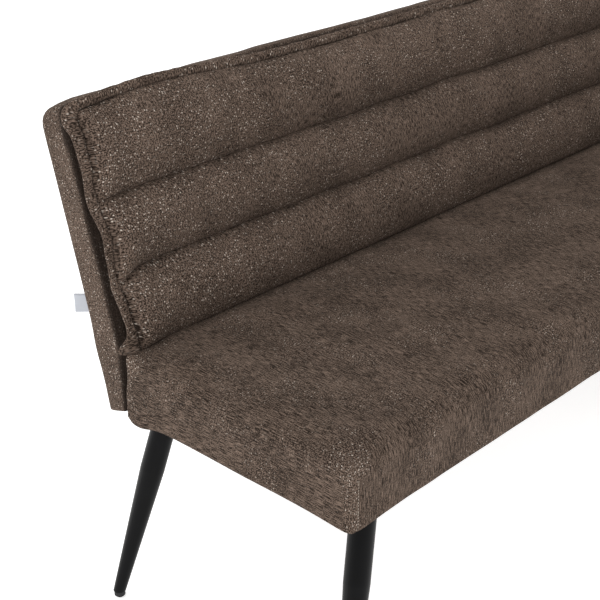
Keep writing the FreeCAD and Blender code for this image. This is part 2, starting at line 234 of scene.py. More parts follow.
class Value:
    """A number on a shader socket that takes part in Python arithmetic."""

    def __init__(self, kit: "ShaderKit", socket: Any) -> None:
        self.kit = kit
        self.socket = socket

    def _math(self, operation: str, first: Any, second: Any) -> "Value":
        """Add one Math node."""
        node = self.kit.node("ShaderNodeMath", {"operation": operation}, {0: first, 1: second})
        return Value(self.kit, node.outputs[0])

    def __add__(self, other: Any) -> "Value":
        """Sum."""
        return self._math("ADD", self, other)

    def __radd__(self, other: Any) -> "Value":
        """Sum, reflected."""
        return self._math("ADD", other, self)

    def __sub__(self, other: Any) -> "Value":
        """Difference."""
        return self._math("SUBTRACT", self, other)

    def __rsub__(self, other: Any) -> "Value":
        """Difference, reflected."""
        return self._math("SUBTRACT", other, self)

    def __mul__(self, other: Any) -> "Value":
        """Product."""
        return self._math("MULTIPLY", self, other)

    def __rmul__(self, other: Any) -> "Value":
        """Product, reflected."""
        return self._math("MULTIPLY", other, self)

    def __truediv__(self, other: Any) -> "Value":
        """Quotient."""
        return self._math("DIVIDE", self, other)

    def between(self, low: float, high: float) -> "Value":
        """Smooth rise from 0 to 1.

        Args:
            low: Where the rise starts.
            high: Where the rise ends.

        Returns:
            The rise.
        """
        node = self.kit.node(
            "ShaderNodeMapRange",
            {"interpolation_type": "SMOOTHSTEP"},
            {"Value": self, "From Min": low, "From Max": high},
        )
        return Value(self.kit, node.outputs[0])


class NodeKit:
    """A node tree, the one method that adds its nodes and the one that feeds them."""

    tree: bpy.types.NodeTree

    def node(
        self, kind: str, settings: dict[str, Any] | None = None, sockets: dict[Any, Any] | None = None
    ) -> bpy.types.Node:
        """Add a node.

        Args:
            kind: The node's type.
            settings: Its properties, with a ramp's stops under "stops".
            sockets: Values, Values wrapped, or output sockets for its inputs, by name or number.

        Returns:
            The node.
        """
        made = self.tree.nodes.new(kind)
        for key, setting in (settings or {}).items():
            if key == "stops":
                ramp = made.color_ramp.elements
                while len(ramp) < len(setting):
                    ramp.new(1.0)
                for element, (position, colour) in zip(ramp, setting):
                    element.position = position
                    element.color = (*colour, 1.0)
            else:
                setattr(made, key, setting)
        for key, given in (sockets or {}).items():
            self.feed(made.inputs[key], given)
        return made

    def feed(self, target: bpy.types.NodeSocket, given: Any) -> None:
        """Link an input to an output, or set its value.

        Args:
            target: The input.
            given: A Value, an output socket or a plain value.
        """
        given = given.socket if isinstance(given, Value) else given
        if isinstance(given, bpy.types.NodeSocket):
            self.tree.links.new(given, target)
        else:
            target.default_value = given


class ShaderKit(NodeKit):
    """One material and its shader."""

    def __init__(self, name: str) -> None:
        """Start a material with a bare principled shader.

        Args:
            name: The material's name.
        """
        self.material = bpy.data.materials.new(name)
        self.material.use_nodes = True
        self.tree = self.material.node_tree
        self.tree.nodes.clear()
        output = self.node("ShaderNodeOutputMaterial")
        self.shader = self.node("ShaderNodeBsdfPrincipled")
        self.tree.links.new(self.shader.outputs[0], output.inputs["Surface"])

    def value(self, node: bpy.types.Node, output: Any = 0) -> Value:
        """Wrap one of a node's outputs."""
        return Value(self, node.outputs[output])

    def noise(self, place: Any, scale: float, detail: float = 2.0, roughness: float = 0.5) -> Value:
        """Noise from about 0 to 1.

        Args:
            place: The vector it is read at.
            scale: How fine it is.
            detail: Layers of finer noise.
            roughness: Weight of the finer layers.

        Returns:
            The noise.
        """
        sockets = {"Vector": place, "Scale": scale, "Detail": detail, "Roughness": roughness}
        return self.value(self.node("ShaderNodeTexNoise", {"noise_dimensions": "3D"}, sockets), "Fac")

    def vector(self, x: Any, y: Any, z: Any = 0.0) -> Any:
        """Join three numbers into a vector socket."""
        return self.node("ShaderNodeCombineXYZ", None, {0: x, 1: y, 2: z}).outputs[0]

    def blend(self, factor: Any, first: Any, second: Any, mode: str = "MIX") -> Any:
        """Mix two colours.

        Args:
            factor: Share of the second.
            first: A colour or a colour socket.
            second: A colour or a colour socket.
            mode: How they are mixed.

        Returns:
            The mixed colour's socket.
        """
        settings = {"data_type": "RGBA", "blend_type": mode, "clamp_factor": True}
        return self.node("ShaderNodeMix", settings, {0: factor, 6: first, 7: second}).outputs[2]

    def bump(self, height: Value, strength: float, distance: float) -> None:
        """Raise the surface by a height."""
        sockets = {"Height": height, "Strength": strength, "Distance": distance}
        self.dress(Normal=self.node("ShaderNodeBump", None, sockets).outputs[0])

    def dress(self, **sockets: Any) -> None:
        """Set or link the shader's own sockets, with _ for a space in a name."""
        for name, given in sockets.items():
            self.feed(self.shader.inputs[name.replace("_", " ")], given)

    def place(self) -> Any:
        """Object coordinates, in metres."""
        return self.node("ShaderNodeTexCoord").outputs["Object"]

    def weave(self) -> tuple[Value, Value]:
        """Read the piece's own yarn map.

        Returns:
            Places across and along the yarn, in metres.
        """
        mapped = self.node("ShaderNodeUVMap", {"uv_map": WEAVE_MAP}).outputs[0]
        parts = self.node("ShaderNodeSeparateXYZ", None, {0: mapped})
        return self.value(parts, 0), self.value(parts, 1)

    def vertex_layer(self, name: str) -> Value:
        """How far the cloth is stretched, or how much painted shade it takes, from the piece's vertices."""
        return self.value(self.node("ShaderNodeAttribute", {"attribute_name": name}), "Fac")


def rgba(colour: Colour, share: float = 1.0) -> tuple[float, float, float, float]:
    """A share of a colour, with full cover."""
    return (*(share * part for part in colour), 1.0)


# Finishes


@dataclass(frozen=True)
class Touch:
    """How a texture roughens a finish, and how strong and how high its relief is."""

    roughness: float
    variation: float
    strength: float
    depth: float

    def dress(self, kit: ShaderKit, texture: Value, height: Value | None = None) -> None:
        """Roughen a shader by a texture, and raise it by the same or by a height of its own."""
        kit.dress(Roughness=self.roughness + texture * self.variation)
        kit.bump(texture if height is None else height, self.strength, self.depth)


@dataclass(frozen=True)
class Finish:
    """A named surface that dresses a shader of its own."""

    name: str

    def material(self) -> bpy.types.Material:
        """Build the finish.

        Returns:
            The material.
        """
        kit = ShaderKit(self.name)
        self.dress(kit)
        return kit.material

    def dress(self, kit: ShaderKit) -> None:
        """Colour, roughen and raise a shader, in each finish's own way."""
        raise NotImplementedError


@dataclass(frozen=True)
class Chenille(Finish):
    """Brown chenille: brushed pile with thin streaks along the yarn, and pale warp dots where it opens.

    A range is where a noise rises from 0 to 1. A mix has the weights of the streaks and the loops. A noise
    has its detail and its roughness.
    """

    name: str = "open_chenille_painted_light"
    ground: Colour = (0.0175, 0.0115, 0.0082)
    # This pile, worn by the backs and their borders, is paler than the seats' pile of the same cloth:
    # painted light.
    pile: Colour = (0.194, 0.139, 0.108)
    fleck: Colour = (0.66, 0.57, 0.49)
    # Near-black brown of the painted shade in tucks and seams.
    painted_shade_colour: Colour = (0.012, 0.008, 0.006)
    sheen: Colour = (0.80, 0.64, 0.52)
    wander: float = 0.006
    wander_scale: float = 9.0
    streak_width: float = 0.0017
    streak_length: float = 0.0105
    streak_noise: Span = (2.5, 0.62)
    streak_range: Span = (0.37, 0.63)
    loop_size: float = 0.0022
    loop_stretch: float = 1.25
    loop_range: Span = (0.38, 0.62)
    fleck_pitch: float = 0.0043
    fleck_range: Span = (0.10, 0.40)
    fleck_draw: Span = (0.25, 1.0)
    fleck_scatter: float = 0.75
    fleck_cover: float = 0.86
    fleck_height: float = 0.6
    patch_size: float = 0.085
    patch_stretch: float = 1.5
    brushing: float = 0.0
    brushed_noise: Span = (4.0, 0.6)
    brushed_range: Span = (0.38, 0.64)
    brushed_cover: float = 0.9
    clouds: float = 0.17
    cloud_scale: float = 1.2
    cloud_range: Span = (0.30, 0.70)
    relief: float = 1.0
    middle_tone: float = 0.4
    matted_mix: Span = (0.90, 0.36)
    matted_shift: float = -0.255
    open_mix: Span = (0.36, 0.80)
    open_shift: float = -0.215
    opening_tone: float = 0.12
    opening_pull: float = 0.5
    # Share of the painted shade where the tuck strain is full.
    painted_shade_cover: float = 0.9
    height_mix: Span = (0.4, 0.6)
    touch: Touch = Touch(0.95, -0.2, 0.6, 0.0013)
    gloss: float = 0.08
    sheen_weight: float = 0.06
    sheen_roughness: float = 0.45

    def dress(self, kit: ShaderKit) -> None:
        """Lay streaks, loops and dots on the yarn map, and colour and raise the cloth by them.

        Args:
            kit: The cloth's shader.
        """
        across, along = kit.weave()
        across = across + kit.noise(kit.vector(across, along), self.wander_scale) * self.wander
        opened, tuck = kit.vertex_layer(STRETCH), kit.vertex_layer(PAINTED_SHADE)
        wide = kit.vector(across / self.patch_size, along / (self.patch_stretch * self.patch_size))
        nap = kit.noise(wide, 1.0, *self.brushed_noise) + self.brushing - opened * self.opening_pull
        brushed = nap.between(*self.brushed_range)
        lines = kit.vector(across / self.streak_width, along / self.streak_length)
        streak = kit.noise(lines, 1.0, *self.streak_noise).between(*self.streak_range)
        loops = kit.vector(across / self.loop_size, along / (self.loop_stretch * self.loop_size))
        loop = kit.noise(loops, 1.0, 1.0).between(*self.loop_range)
        lattice = kit.vector(across / self.fleck_pitch, along / self.fleck_pitch)
        cells = kit.node(
            "ShaderNodeTexVoronoi",
            {"feature": "F1"},
            {"Vector": lattice, "Scale": 1.0, "Randomness": self.fleck_scatter},
        )
        draw = kit.value(kit.node("ShaderNodeSeparateColor", None, {0: cells.outputs["Color"]}))
        dot = 1.0 - kit.value(cells, "Distance").between(*self.fleck_range)
        shown = draw.between(*self.fleck_draw) + opened * self.opening_pull
        flecks = dot * shown * (1.0 - brushed * self.brushed_cover)
        matted = self._mix(streak, loop, self.matted_mix) + self.matted_shift
        open_tone = self._mix(streak, loop, self.open_mix) + self.open_shift + opened * self.opening_tone
        cloud = kit.noise(wide, self.cloud_scale).between(*self.cloud_range)
        tone = open_tone + (matted - open_tone) * brushed - self.middle_tone
        tone = tone * self.relief + self.middle_tone + (cloud - 0.5) * self.clouds
        colour = kit.blend(tone, rgba(self.ground), rgba(self.pile))
        lit = kit.blend(flecks * self.fleck_cover, colour, rgba(self.fleck))
        # Painted shade: where the tuck strain is high the colour turns to a near-black brown, standing in
        # for the shade in the tuck behind the pad's border and in the border's seam.
        kit.dress(Base_Color=kit.blend(tuck * self.painted_shade_cover, lit, rgba(self.painted_shade_colour)))
        kit.dress(Specular_IOR_Level=self.gloss, Sheen_Weight=self.sheen_weight)
        kit.dress(Sheen_Roughness=self.sheen_roughness, Sheen_Tint=rgba(self.sheen))
        raised = self._mix(streak, loop, self.height_mix) + flecks * self.fleck_height
        self.touch.dress(kit, flecks, raised)

    @staticmethod
    def _mix(streak: Value, loop: Value, weights: Span) -> Value:
        """Weighted sum of the streaks and the loops."""
        return streak * weights[0] + loop * weights[1]


@dataclass(frozen=True)
class SewingThread(Finish):
    """Pale twisted sewing thread."""

    name: str = "sewing_thread"
    colour: Colour = (0.46, 0.39, 0.32)
    shadow_share: float = 0.5
    fibre_scale: float = 1500.0
    touch: Touch = Touch(0.7, 0.2, 0.3, 0.0003)

    def dress(self, kit: ShaderKit) -> None:
        """Twist pale and darker fibres together.

        Args:
            kit: The thread's shader.
        """
        fibre = kit.noise(kit.place(), self.fibre_scale)
        kit.dress(Base_Color=kit.blend(fibre, rgba(self.colour, self.shadow_share), rgba(self.colour)))
        self.touch.dress(kit, fibre)


@dataclass(frozen=True)
class HardFinish(Finish):
    """A hard surface whose colour turns paler or duller where it is rubbed."""

    colour: Colour
    rubbed_share: float
    rub_scale: float
    rub_range: Span
    grain_scale: float
    touch: Touch
    grain_detail: float = 2.0
    gloss: float = 0.5
    metallic: float = 0.0

    def dress(self, kit: ShaderKit) -> None:
        """Rub the colour and grain the surface.

        Args:
            kit: The surface's shader.
        """
        rub = kit.noise(kit.place(), self.rub_scale, 3.0).between(*self.rub_range)
        kit.dress(Base_Color=kit.blend(rub, rgba(self.colour), rgba(self.colour, self.rubbed_share)))
        kit.dress(Specular_IOR_Level=self.gloss, Metallic=self.metallic)
        self.touch.dress(kit, kit.noise(kit.place(), self.grain_scale, self.grain_detail))


@dataclass(frozen=True)
class PowderCoat(HardFinish):
    """Matt black powder coat with a fine orange-peel texture."""

    name: str = "black_powder_coat"
    colour: Colour = (0.0009, 0.0009, 0.0011)
    rubbed_share: float = 2.1
    rub_scale: float = 30.0
    rub_range: Span = (0.45, 0.8)
    grain_scale: float = 900.0
    touch: Touch = Touch(0.32, 0.1, 0.12, 0.0003)
    gloss: float = 0.11


@dataclass(frozen=True)
class MouldedNylon(HardFinish):
    """Black moulded nylon with a fine spark texture."""

    name: str = "moulded_nylon"
    colour: Colour = (0.016, 0.016, 0.017)
    rubbed_share: float = 2.4
    rub_scale: float = 160.0
    rub_range: Span = (0.55, 0.85)
    grain_scale: float = 1400.0
    touch: Touch = Touch(0.5, 0.2, 0.2, 0.0002)
    gloss: float = 0.25


@dataclass(frozen=True)
class ZincSteel(HardFinish):
    """Bright zinc on small steel fasteners."""

    name: str = "bright_zinc"
    colour: Colour = (0.56, 0.55, 0.52)
    rubbed_share: float = 0.6
    rub_scale: float = 240.0
    rub_range: Span = (0.4, 0.8)
    grain_scale: float = 240.0
    touch: Touch = Touch(0.3, 0.2, 0.1, 0.0002)
    grain_detail: float = 3.0
    metallic: float = 1.0


@dataclass(frozen=True)
class SawnTimber(Finish):
    """Pale sawn softwood and plywood of the frame inside."""

    name: str = "sawn_timber"
    early: Colour = (0.62, 0.44, 0.26)
    late: Colour = (0.40, 0.25, 0.12)
    grain_scale: Place = (6.0, 60.0, 60.0)
    grain_noise: Span = (5.0, 0.6)
    late_range: Span = (0.38, 0.66)
    touch: Touch = Touch(0.62, 0.2, 0.25, 0.0006)

    def dress(self, kit: ShaderKit) -> None:
        """Draw the grain along the wood.

        Args:
            kit: The wood's shader.
        """
        stretched = kit.node("ShaderNodeMapping", None, {"Vector": kit.place(), "Scale": self.grain_scale})
        grain = kit.noise(stretched.outputs[0], 1.0, *self.grain_noise)
        kit.dress(Base_Color=kit.blend(grain.between(*self.late_range), rgba(self.early), rgba(self.late)))
        self.touch.dress(kit, grain)


@dataclass(frozen=True)
class PlainCloth(Finish):
    """A thin plain-woven or spun cloth in one colour with its thread grid."""

    colour: Colour
    thread: float = 0.0011
    contrast: float = 0.35
    fibre_scale: float = 700.0
    grid_share: float = 0.6
    fibre_height: float = 0.5
    touch: Touch = Touch(0.85, 0.1, 0.35, 0.0004)

    def dress(self, kit: ShaderKit) -> None:
        """Cross the threads on Object coordinates.

        Args:
            kit: The cloth's shader.
        """
        parts = kit.node("ShaderNodeSeparateXYZ", None, {0: kit.place()})
        turns = 2.0 * math.pi / self.thread
        level, upright = kit.value(parts, 0), kit.value(parts, 1) + kit.value(parts, 2)
        rows, columns = (
            kit.value(kit.node("ShaderNodeMath", {"operation": "SINE"}, {0: place * turns}))
            for place in (level, upright)
        )
        grid = rows * columns * 0.5 + 0.5
        fibre = kit.noise(kit.place(), self.fibre_scale, 3.0)
        darker = rgba(self.colour, 1.0 - self.contrast)
        tone = grid * self.grid_share + fibre * (1.0 - self.grid_share)
        kit.dress(Base_Color=kit.blend(tone, darker, rgba(self.colour)))
        self.touch.dress(kit, fibre, grid * self.grid_share + fibre * self.fibre_height)


@dataclass(frozen=True)
class OpenFoam(Finish):
    """Cut open-cell foam."""

    name: str = "open_cell_foam"
    colour: Colour = (0.78, 0.72, 0.56)
    pore_share: float = 0.7
    pore_scale: float = 700.0
    touch: Touch = Touch(0.9, 0.05, 0.4, 0.0006)

    def dress(self, kit: ShaderKit) -> None:
        """Open the foam's pores.

        Args:
            kit: The foam's shader.
        """
        cells = kit.node("ShaderNodeTexVoronoi", None, {"Vector": kit.place(), "Scale": self.pore_scale})
        pore = kit.value(cells, "Distance")
        kit.dress(Base_Color=kit.blend(pore, rgba(self.colour, self.pore_share), rgba(self.colour)))
        self.touch.dress(kit, pore)


@dataclass(frozen=True)
class StudioPaper(Finish):
    """Pale matt floor of the studio."""

    name: str = "pale_floor"
    colour: Colour = (0.96, 0.96, 0.96)
    mottle_share: float = 0.985
    mottle_scale: float = 3.0
    roughness: float = 0.9
    light: Colour = (1.0, 1.0, 1.0)
    glow: float = 0.58

    def dress(self, kit: ShaderKit) -> None:
        """Mottle the paper and let it glow.

        Args:
            kit: The paper's shader.
        """
        mottle = kit.noise(kit.place(), self.mottle_scale)
        darker = rgba(self.colour, self.mottle_share)
        kit.dress(Base_Color=kit.blend(mottle, rgba(self.colour), darker), Roughness=self.roughness)
        kit.dress(Emission_Color=rgba(self.light), Emission_Strength=self.glow)


# Meshes


@dataclass(frozen=True)
class BenchAxes:
    """Carries bench axes (u, v, z) into the shared frame."""

    origin: Vector
    swapped: bool

    @classmethod
    def of(cls, bench: Bench) -> "BenchAxes":
        """Axes of one bench, from the seat cover's corner at its free end.

        Args:
            bench: Which bench.

        Returns:
            Its axes.
        """
        low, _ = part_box(f"{bench.value}_seat_cover")
        return cls(Vector((low.x, low.y, 0.0)), bench is Bench.SHORT)

    def turn(self, rows: np.ndarray) -> np.ndarray:
        """Directions in the shared frame, one row each."""
        return rows[:, [1, 0, 2]] if self.swapped else rows.copy()

    def carry(self, points: np.ndarray) -> np.ndarray:
        """Places in the shared frame, one row each."""
        return self.turn(points) + np.array(self.origin)


@dataclass
class BoxSkin:
    """A grid over the six sides of a unit box, with shared vertices along its edges."""

    stations: tuple[np.ndarray, np.ndarray, np.ndarray]
    shares: np.ndarray = field(init=False)
    quads: dict[Side, np.ndarray] = field(init=False)

    def __post_init__(self) -> None:
        """Number the surface places and join them into quads that face outwards."""
        counts = [len(line) for line in self.stations]
        surface = np.zeros(counts, bool)
        for axis in range(3):
            for end in (0, -1):
                surface[tuple(end if a == axis else slice(None) for a in range(3))] = True
        number = np.full(counts, -1)
        number[surface] = np.arange(surface.sum())
        grids = np.meshgrid(*self.stations, indexing="ij")
        self.shares = np.stack([grid[surface] for grid in grids], axis=1)
        self.quads = {}
        for side in Side:
            axis, end = side.value
            sheet = number.take(-end, axis=axis)
            corners = (sheet[:-1, :-1], sheet[1:, :-1], sheet[1:, 1:], sheet[:-1, 1:])
            quads = np.stack([corner.ravel() for corner in corners], axis=1)
            outward = (axis != 1) == bool(end)
            self.quads[side] = quads if outward else quads[:, ::-1]


def new_object(name: str, data: Any) -> bpy.types.Object:
    """Put a new object in the scene, at the origin.

    Args:
        name: Its name.
        data: Its mesh, camera or light.

    Returns:
        The object.
    """
    made = bpy.data.objects.new(name, data)
    bpy.context.scene.collection.objects.link(made)
    return made


def mesh_piece(
    name: str,
    points: np.ndarray,
    quads: np.ndarray,
    weave: np.ndarray,
    material: bpy.types.Material,
    stretch_and_shade: dict[str, np.ndarray] | None = None,
) -> bpy.types.Object:
    """Make a smooth mesh object at the origin.

    Args:
        name: The piece's name.
        points: Vertex places in the shared frame.
        quads: Vertex numbers of each face.
        weave: Yarn places of each face corner, in face order.
        material: Its finish.
        stretch_and_shade: How far the cloth is stretched, and how much painted shade it takes, at each
            vertex, from 0 to 1.

    Returns:
        The object.
    """
    mesh = bpy.data.meshes.new(name)
    mesh.from_pydata(points.tolist(), [], quads.tolist())
    layer = mesh.uv_layers.new(name=WEAVE_MAP)
    layer.data.foreach_set("uv", weave.astype(np.float32).ravel())
    for vertex_layer, amounts in (stretch_and_shade or {}).items():
        mesh.attributes.new(vertex_layer, "FLOAT", "POINT").data.foreach_set("value", amounts.astype(np.float32))
    mesh.materials.append(material)
    mesh.shade_smooth()
    mesh.update()
    return new_object(name, mesh)


def skin_piece(
    name: str,
    skin: BoxSkin,
    points: np.ndarray,
    yarn: dict[Side, np.ndarray],
    axes: BenchAxes,
    material: bpy.types.Material,
    stretch_and_shade: dict[str, np.ndarray] | None = None,
) -> bpy.types.Object:
    """Make a padded piece from a box skin.

    Args:
        name: The piece's name.
        skin: Its grid.
        points: The grid's places in bench axes.
        yarn: The grid's yarn places as each side lays them.
        axes: The bench's axes.
        material: Its finish.
        stretch_and_shade: How far the cloth is stretched, and how much painted shade it takes, at each
            vertex, from 0 to 1.

    Returns:
        The object.
    """
    quads = []
    weave = []
    for side, faces in skin.quads.items():
        faces = faces[:, ::-1] if axes.swapped else faces
        quads.append(faces)
        weave.append(yarn[side][faces.ravel()])
    faces, places = np.concatenate(quads), np.concatenate(weave)
    return mesh_piece(name, axes.carry(points), faces, places, material, stretch_and_shade)


@dataclass(frozen=True)
class ClothSwell:
    """Swells a padded piece by air pressure while its sewn points stay put."""

    pressure: float = 4.0
    frames: int = 16
    cap: float = 0.006
    slack: float = -0.012
    mass: float = 0.35
    tension: float = 25.0
    bending: float = 1.2

    def settle(self, piece: bpy.types.Object, sewn: np.ndarray, outward: np.ndarray) -> None:
        """Run the cloth and keep its swelling in the piece's mesh.

        Args:
            piece: The padded piece.
            sewn: True for each vertex that is held.
            outward: Unit direction in which the padding pushes the cloth.
        """
        before = read_places(piece.data)
        group = piece.vertex_groups.new(name="sewn")
        group.add(np.flatnonzero(sewn).tolist(), 1.0, "REPLACE")
        cloth = piece.modifiers.new("swell", "CLOTH")
        settings = cloth.settings
        settings.vertex_group_mass = group.name
        settings.mass = self.mass
        settings.tension_stiffness = self.tension
        settings.compression_stiffness = self.tension
        settings.shear_stiffness = self.tension / 3.0
        settings.bending_stiffness = self.bending
        settings.use_pressure = True
        settings.uniform_pressure_force = self.pressure
        settings.shrink_min = self.slack
        settings.effector_weights.gravity = 0.0
        cloth.collision_settings.use_collision = False
        cloth.point_cache.frame_start = 1
        cloth.point_cache.frame_end = self.frames
        scene = bpy.context.scene
        for number in range(1, self.frames + 1):
            scene.frame_set(number)
        graph = bpy.context.evaluated_depsgraph_get()
        after = read_places(piece.evaluated_get(graph).data)
        piece.modifiers.remove(cloth)
        piece.vertex_groups.remove(group)
        scene.frame_set(1)
        swell = np.maximum((after - before) @ outward, 0.0)
        swell = self.cap * np.tanh(swell / self.cap)
        write_places(piece.data, before + swell[:, None] * outward[None, :])
        LOG.info("%s: cloth swelled up to %.1f mm", piece.name, 1000.0 * float(swell.max()))


def read_places(mesh: bpy.types.Mesh) -> np.ndarray:
    """Read the vertex places of a mesh.

    Args:
        mesh: The mesh.

    Returns:
        The places, one row each.
    """
    flat = np.zeros(3 * len(mesh.vertices), np.float32)
    mesh.vertices.foreach_get("co", flat)
    return flat.reshape(-1, 3).astype(float)


def write_places(mesh: bpy.types.Mesh, points: np.ndarray) -> None:
    """Set the vertex places of a mesh."""
    mesh.vertices.foreach_set("co", points.astype(np.float32).ravel())
    mesh.update()


# Stitches


class StitchNodes(NodeKit):
    """Geometry nodes that lay one stitch after another along a line."""

    shortest, longest = 0.8, 1.15
    segments, rings = 8, 6

    def __init__(self) -> None:
        """Build the tree with its named inputs."""
        self.tree = bpy.data.node_groups.new("stitches", "GeometryNodeTree")
        face = self.tree.interface
        inputs = (("Line", "Geometry"), ("Pitch", "Float"), ("Length", "Float"), ("Thread", "Float"))
        self.sockets = {
            name: face.new_socket(name, in_out="INPUT", socket_type=f"NodeSocket{kind}")
            for name, kind in (*inputs, ("Seed", "Int"), ("Finish", "Material"))
        }
        face.new_socket("Stitches", in_out="OUTPUT", socket_type="NodeSocketGeometry")
        given = self.node("NodeGroupInput").outputs
        curve = self.node("GeometryNodeMeshToCurve", None, {"Mesh": given["Line"]})
        spaced = self.node(
            "GeometryNodeResampleCurve",
            {"mode": "LENGTH"},
            {"Curve": curve.outputs[0], "Length": given["Pitch"]},
        )
        along = self.node(
            "FunctionNodeAlignRotationToVector",
            {"axis": "Z"},
            {"Vector": self.node("GeometryNodeInputTangent").outputs[0]},
        )
        size = self.node(
            "ShaderNodeCombineXYZ", None, {0: given["Thread"], 1: given["Thread"], 2: given["Length"]}
        )
        draw = self.node(
            "FunctionNodeRandomValue",
            {"data_type": "FLOAT"},
            {2: self.shortest, 3: self.longest, "Seed": given["Seed"]},
        )
        uneven = self.node(
            "ShaderNodeVectorMath", {"operation": "SCALE"}, {0: size.outputs[0], "Scale": draw.outputs[1]}
        )
        bead = self.node(
            "GeometryNodeMeshUVSphere",
            None,
            {"Segments": self.segments, "Rings": self.rings, "Radius": 0.5},
        )
        laid = self.node(
            "GeometryNodeInstanceOnPoints",
            None,
            {
                "Points": spaced.outputs[0],
                "Instance": bead.outputs[0],
                "Rotation": along.outputs[0],
                "Scale": uneven.outputs[0],
            },
        )
        real = self.node("GeometryNodeRealizeInstances", None, {0: laid.outputs[0]})
        smooth = self.node("GeometryNodeSetShadeSmooth", None, {0: real.outputs[0]})
        dressed = self.node(
            "GeometryNodeSetMaterial", None, {"Geometry": smooth.outputs[0], "Material": given["Finish"]}
        )
        self.node("NodeGroupOutput", None, {0: dressed.outputs[0]})


@dataclass
class SeamStitches:
    """A row of pale stitches that shows down a pulled seam."""

    nodes: StitchNodes
    finish: bpy.types.Material
    pitch: float = 0.0052
    length: float = 0.0034
    thread: float = 0.0013
    seed: int = 5

    def build(self, name: str, line: np.ndarray) -> bpy.types.Object:
        """Sew along a line.

        Args:
            name: The piece's name.
            line: Places in the shared frame, in order.

        Returns:
            The stitches.
        """
        mesh = bpy.data.meshes.new(name)
        mesh.from_pydata(line.tolist(), [(k, k + 1) for k in range(len(line) - 1)], [])
        piece = new_object(name, mesh)
        sewing = piece.modifiers.new("sewing", "NODES")
        sewing.node_group = self.nodes.tree
        chosen = {
            "Pitch": self.pitch,
            "Length": self.length,
            "Thread": self.thread,
            "Seed": self.seed,
            "Finish": self.finish,
        }
        for key, value in chosen.items():
            sewing[self.nodes.sockets[key].identifier] = value
        graph = bpy.context.evaluated_depsgraph_get()
        sewn = bpy.data.meshes.new_from_object(piece.evaluated_get(graph))
        piece.modifiers.remove(sewing)
        piece.data = sewn
        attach(piece, BODY)
        return piece


# Sub-assemblies


@dataclass
class BackLine:
    """The section that a bench's outer back and its pad share."""

    recline: float = math.radians(15.6)
    knee: float = 0.483
    bottom: float = 0.375
    plane: float = 0.5105
    slope_length: float = 0.424
    thickness: float = 0.074
    foot_depth: float = 0.048
    bend: float = 0.020
    soft_run: float = 0.045
    soft_steps: int = 9

    def on_front(self, slope: np.ndarray, forward: np.ndarray) -> tuple[np.ndarray, np.ndarray]:
        """Place (v, z) up the front plane and in front of it.

        Args:
            slope: Lengths up the plane from the knee.
            forward: Distances in front of the plane.

        Returns:
            The v and z places.
        """
        sine, cosine = math.sin(self.recline), math.cos(self.recline)
        return self.plane + slope * sine - forward * cosine, self.knee + slope * cosine + forward * sine

    def front(self, rise: np.ndarray) -> np.ndarray:
        """Follow the front line.

        Args:
            rise: Lengths up the line from the bottom.

        Returns:
            The points (v, z), one row each.
        """
        slope = np.maximum(rise - (self.knee - self.bottom), 0.0)
        v, z = self.on_front(slope, 0.0)
        return np.stack([v, np.minimum(self.bottom + rise, self.knee) + (z - self.knee)], axis=1)

    def rear(self, rise: np.ndarray) -> np.ndarray:
        """Points (v, z) of the rear line, bent softly above the foot."""
        spread = np.linspace(-self.soft_run, self.soft_run, self.soft_steps)
        return np.mean([self._sharp_rear(rise + offset) for offset in spread], axis=0)

    def _sharp_rear(self, rise: np.ndarray) -> np.ndarray:
        """Follow the rear line before its bend is softened.

        Args:
            rise: Lengths up the line from the bottom.

        Returns:
            The points (v, z), one row each.
        """
        turn = self.knee - self.bottom + self.bend
        slope = rise - (self.knee - self.bottom)
        v, z = self.on_front(np.maximum(slope, self.bend), -self.thickness)
        share = np.minimum(rise / turn, 1.0)[:, None]
        foot = np.array([self.plane + self.foot_depth, self.bottom])
        return foot + (np.stack([v, z], axis=1) - foot) * share

    @property
    def height(self) -> float:
        """Length of the front line from the bottom to the top."""
        return self.knee - self.bottom + self.slope_length


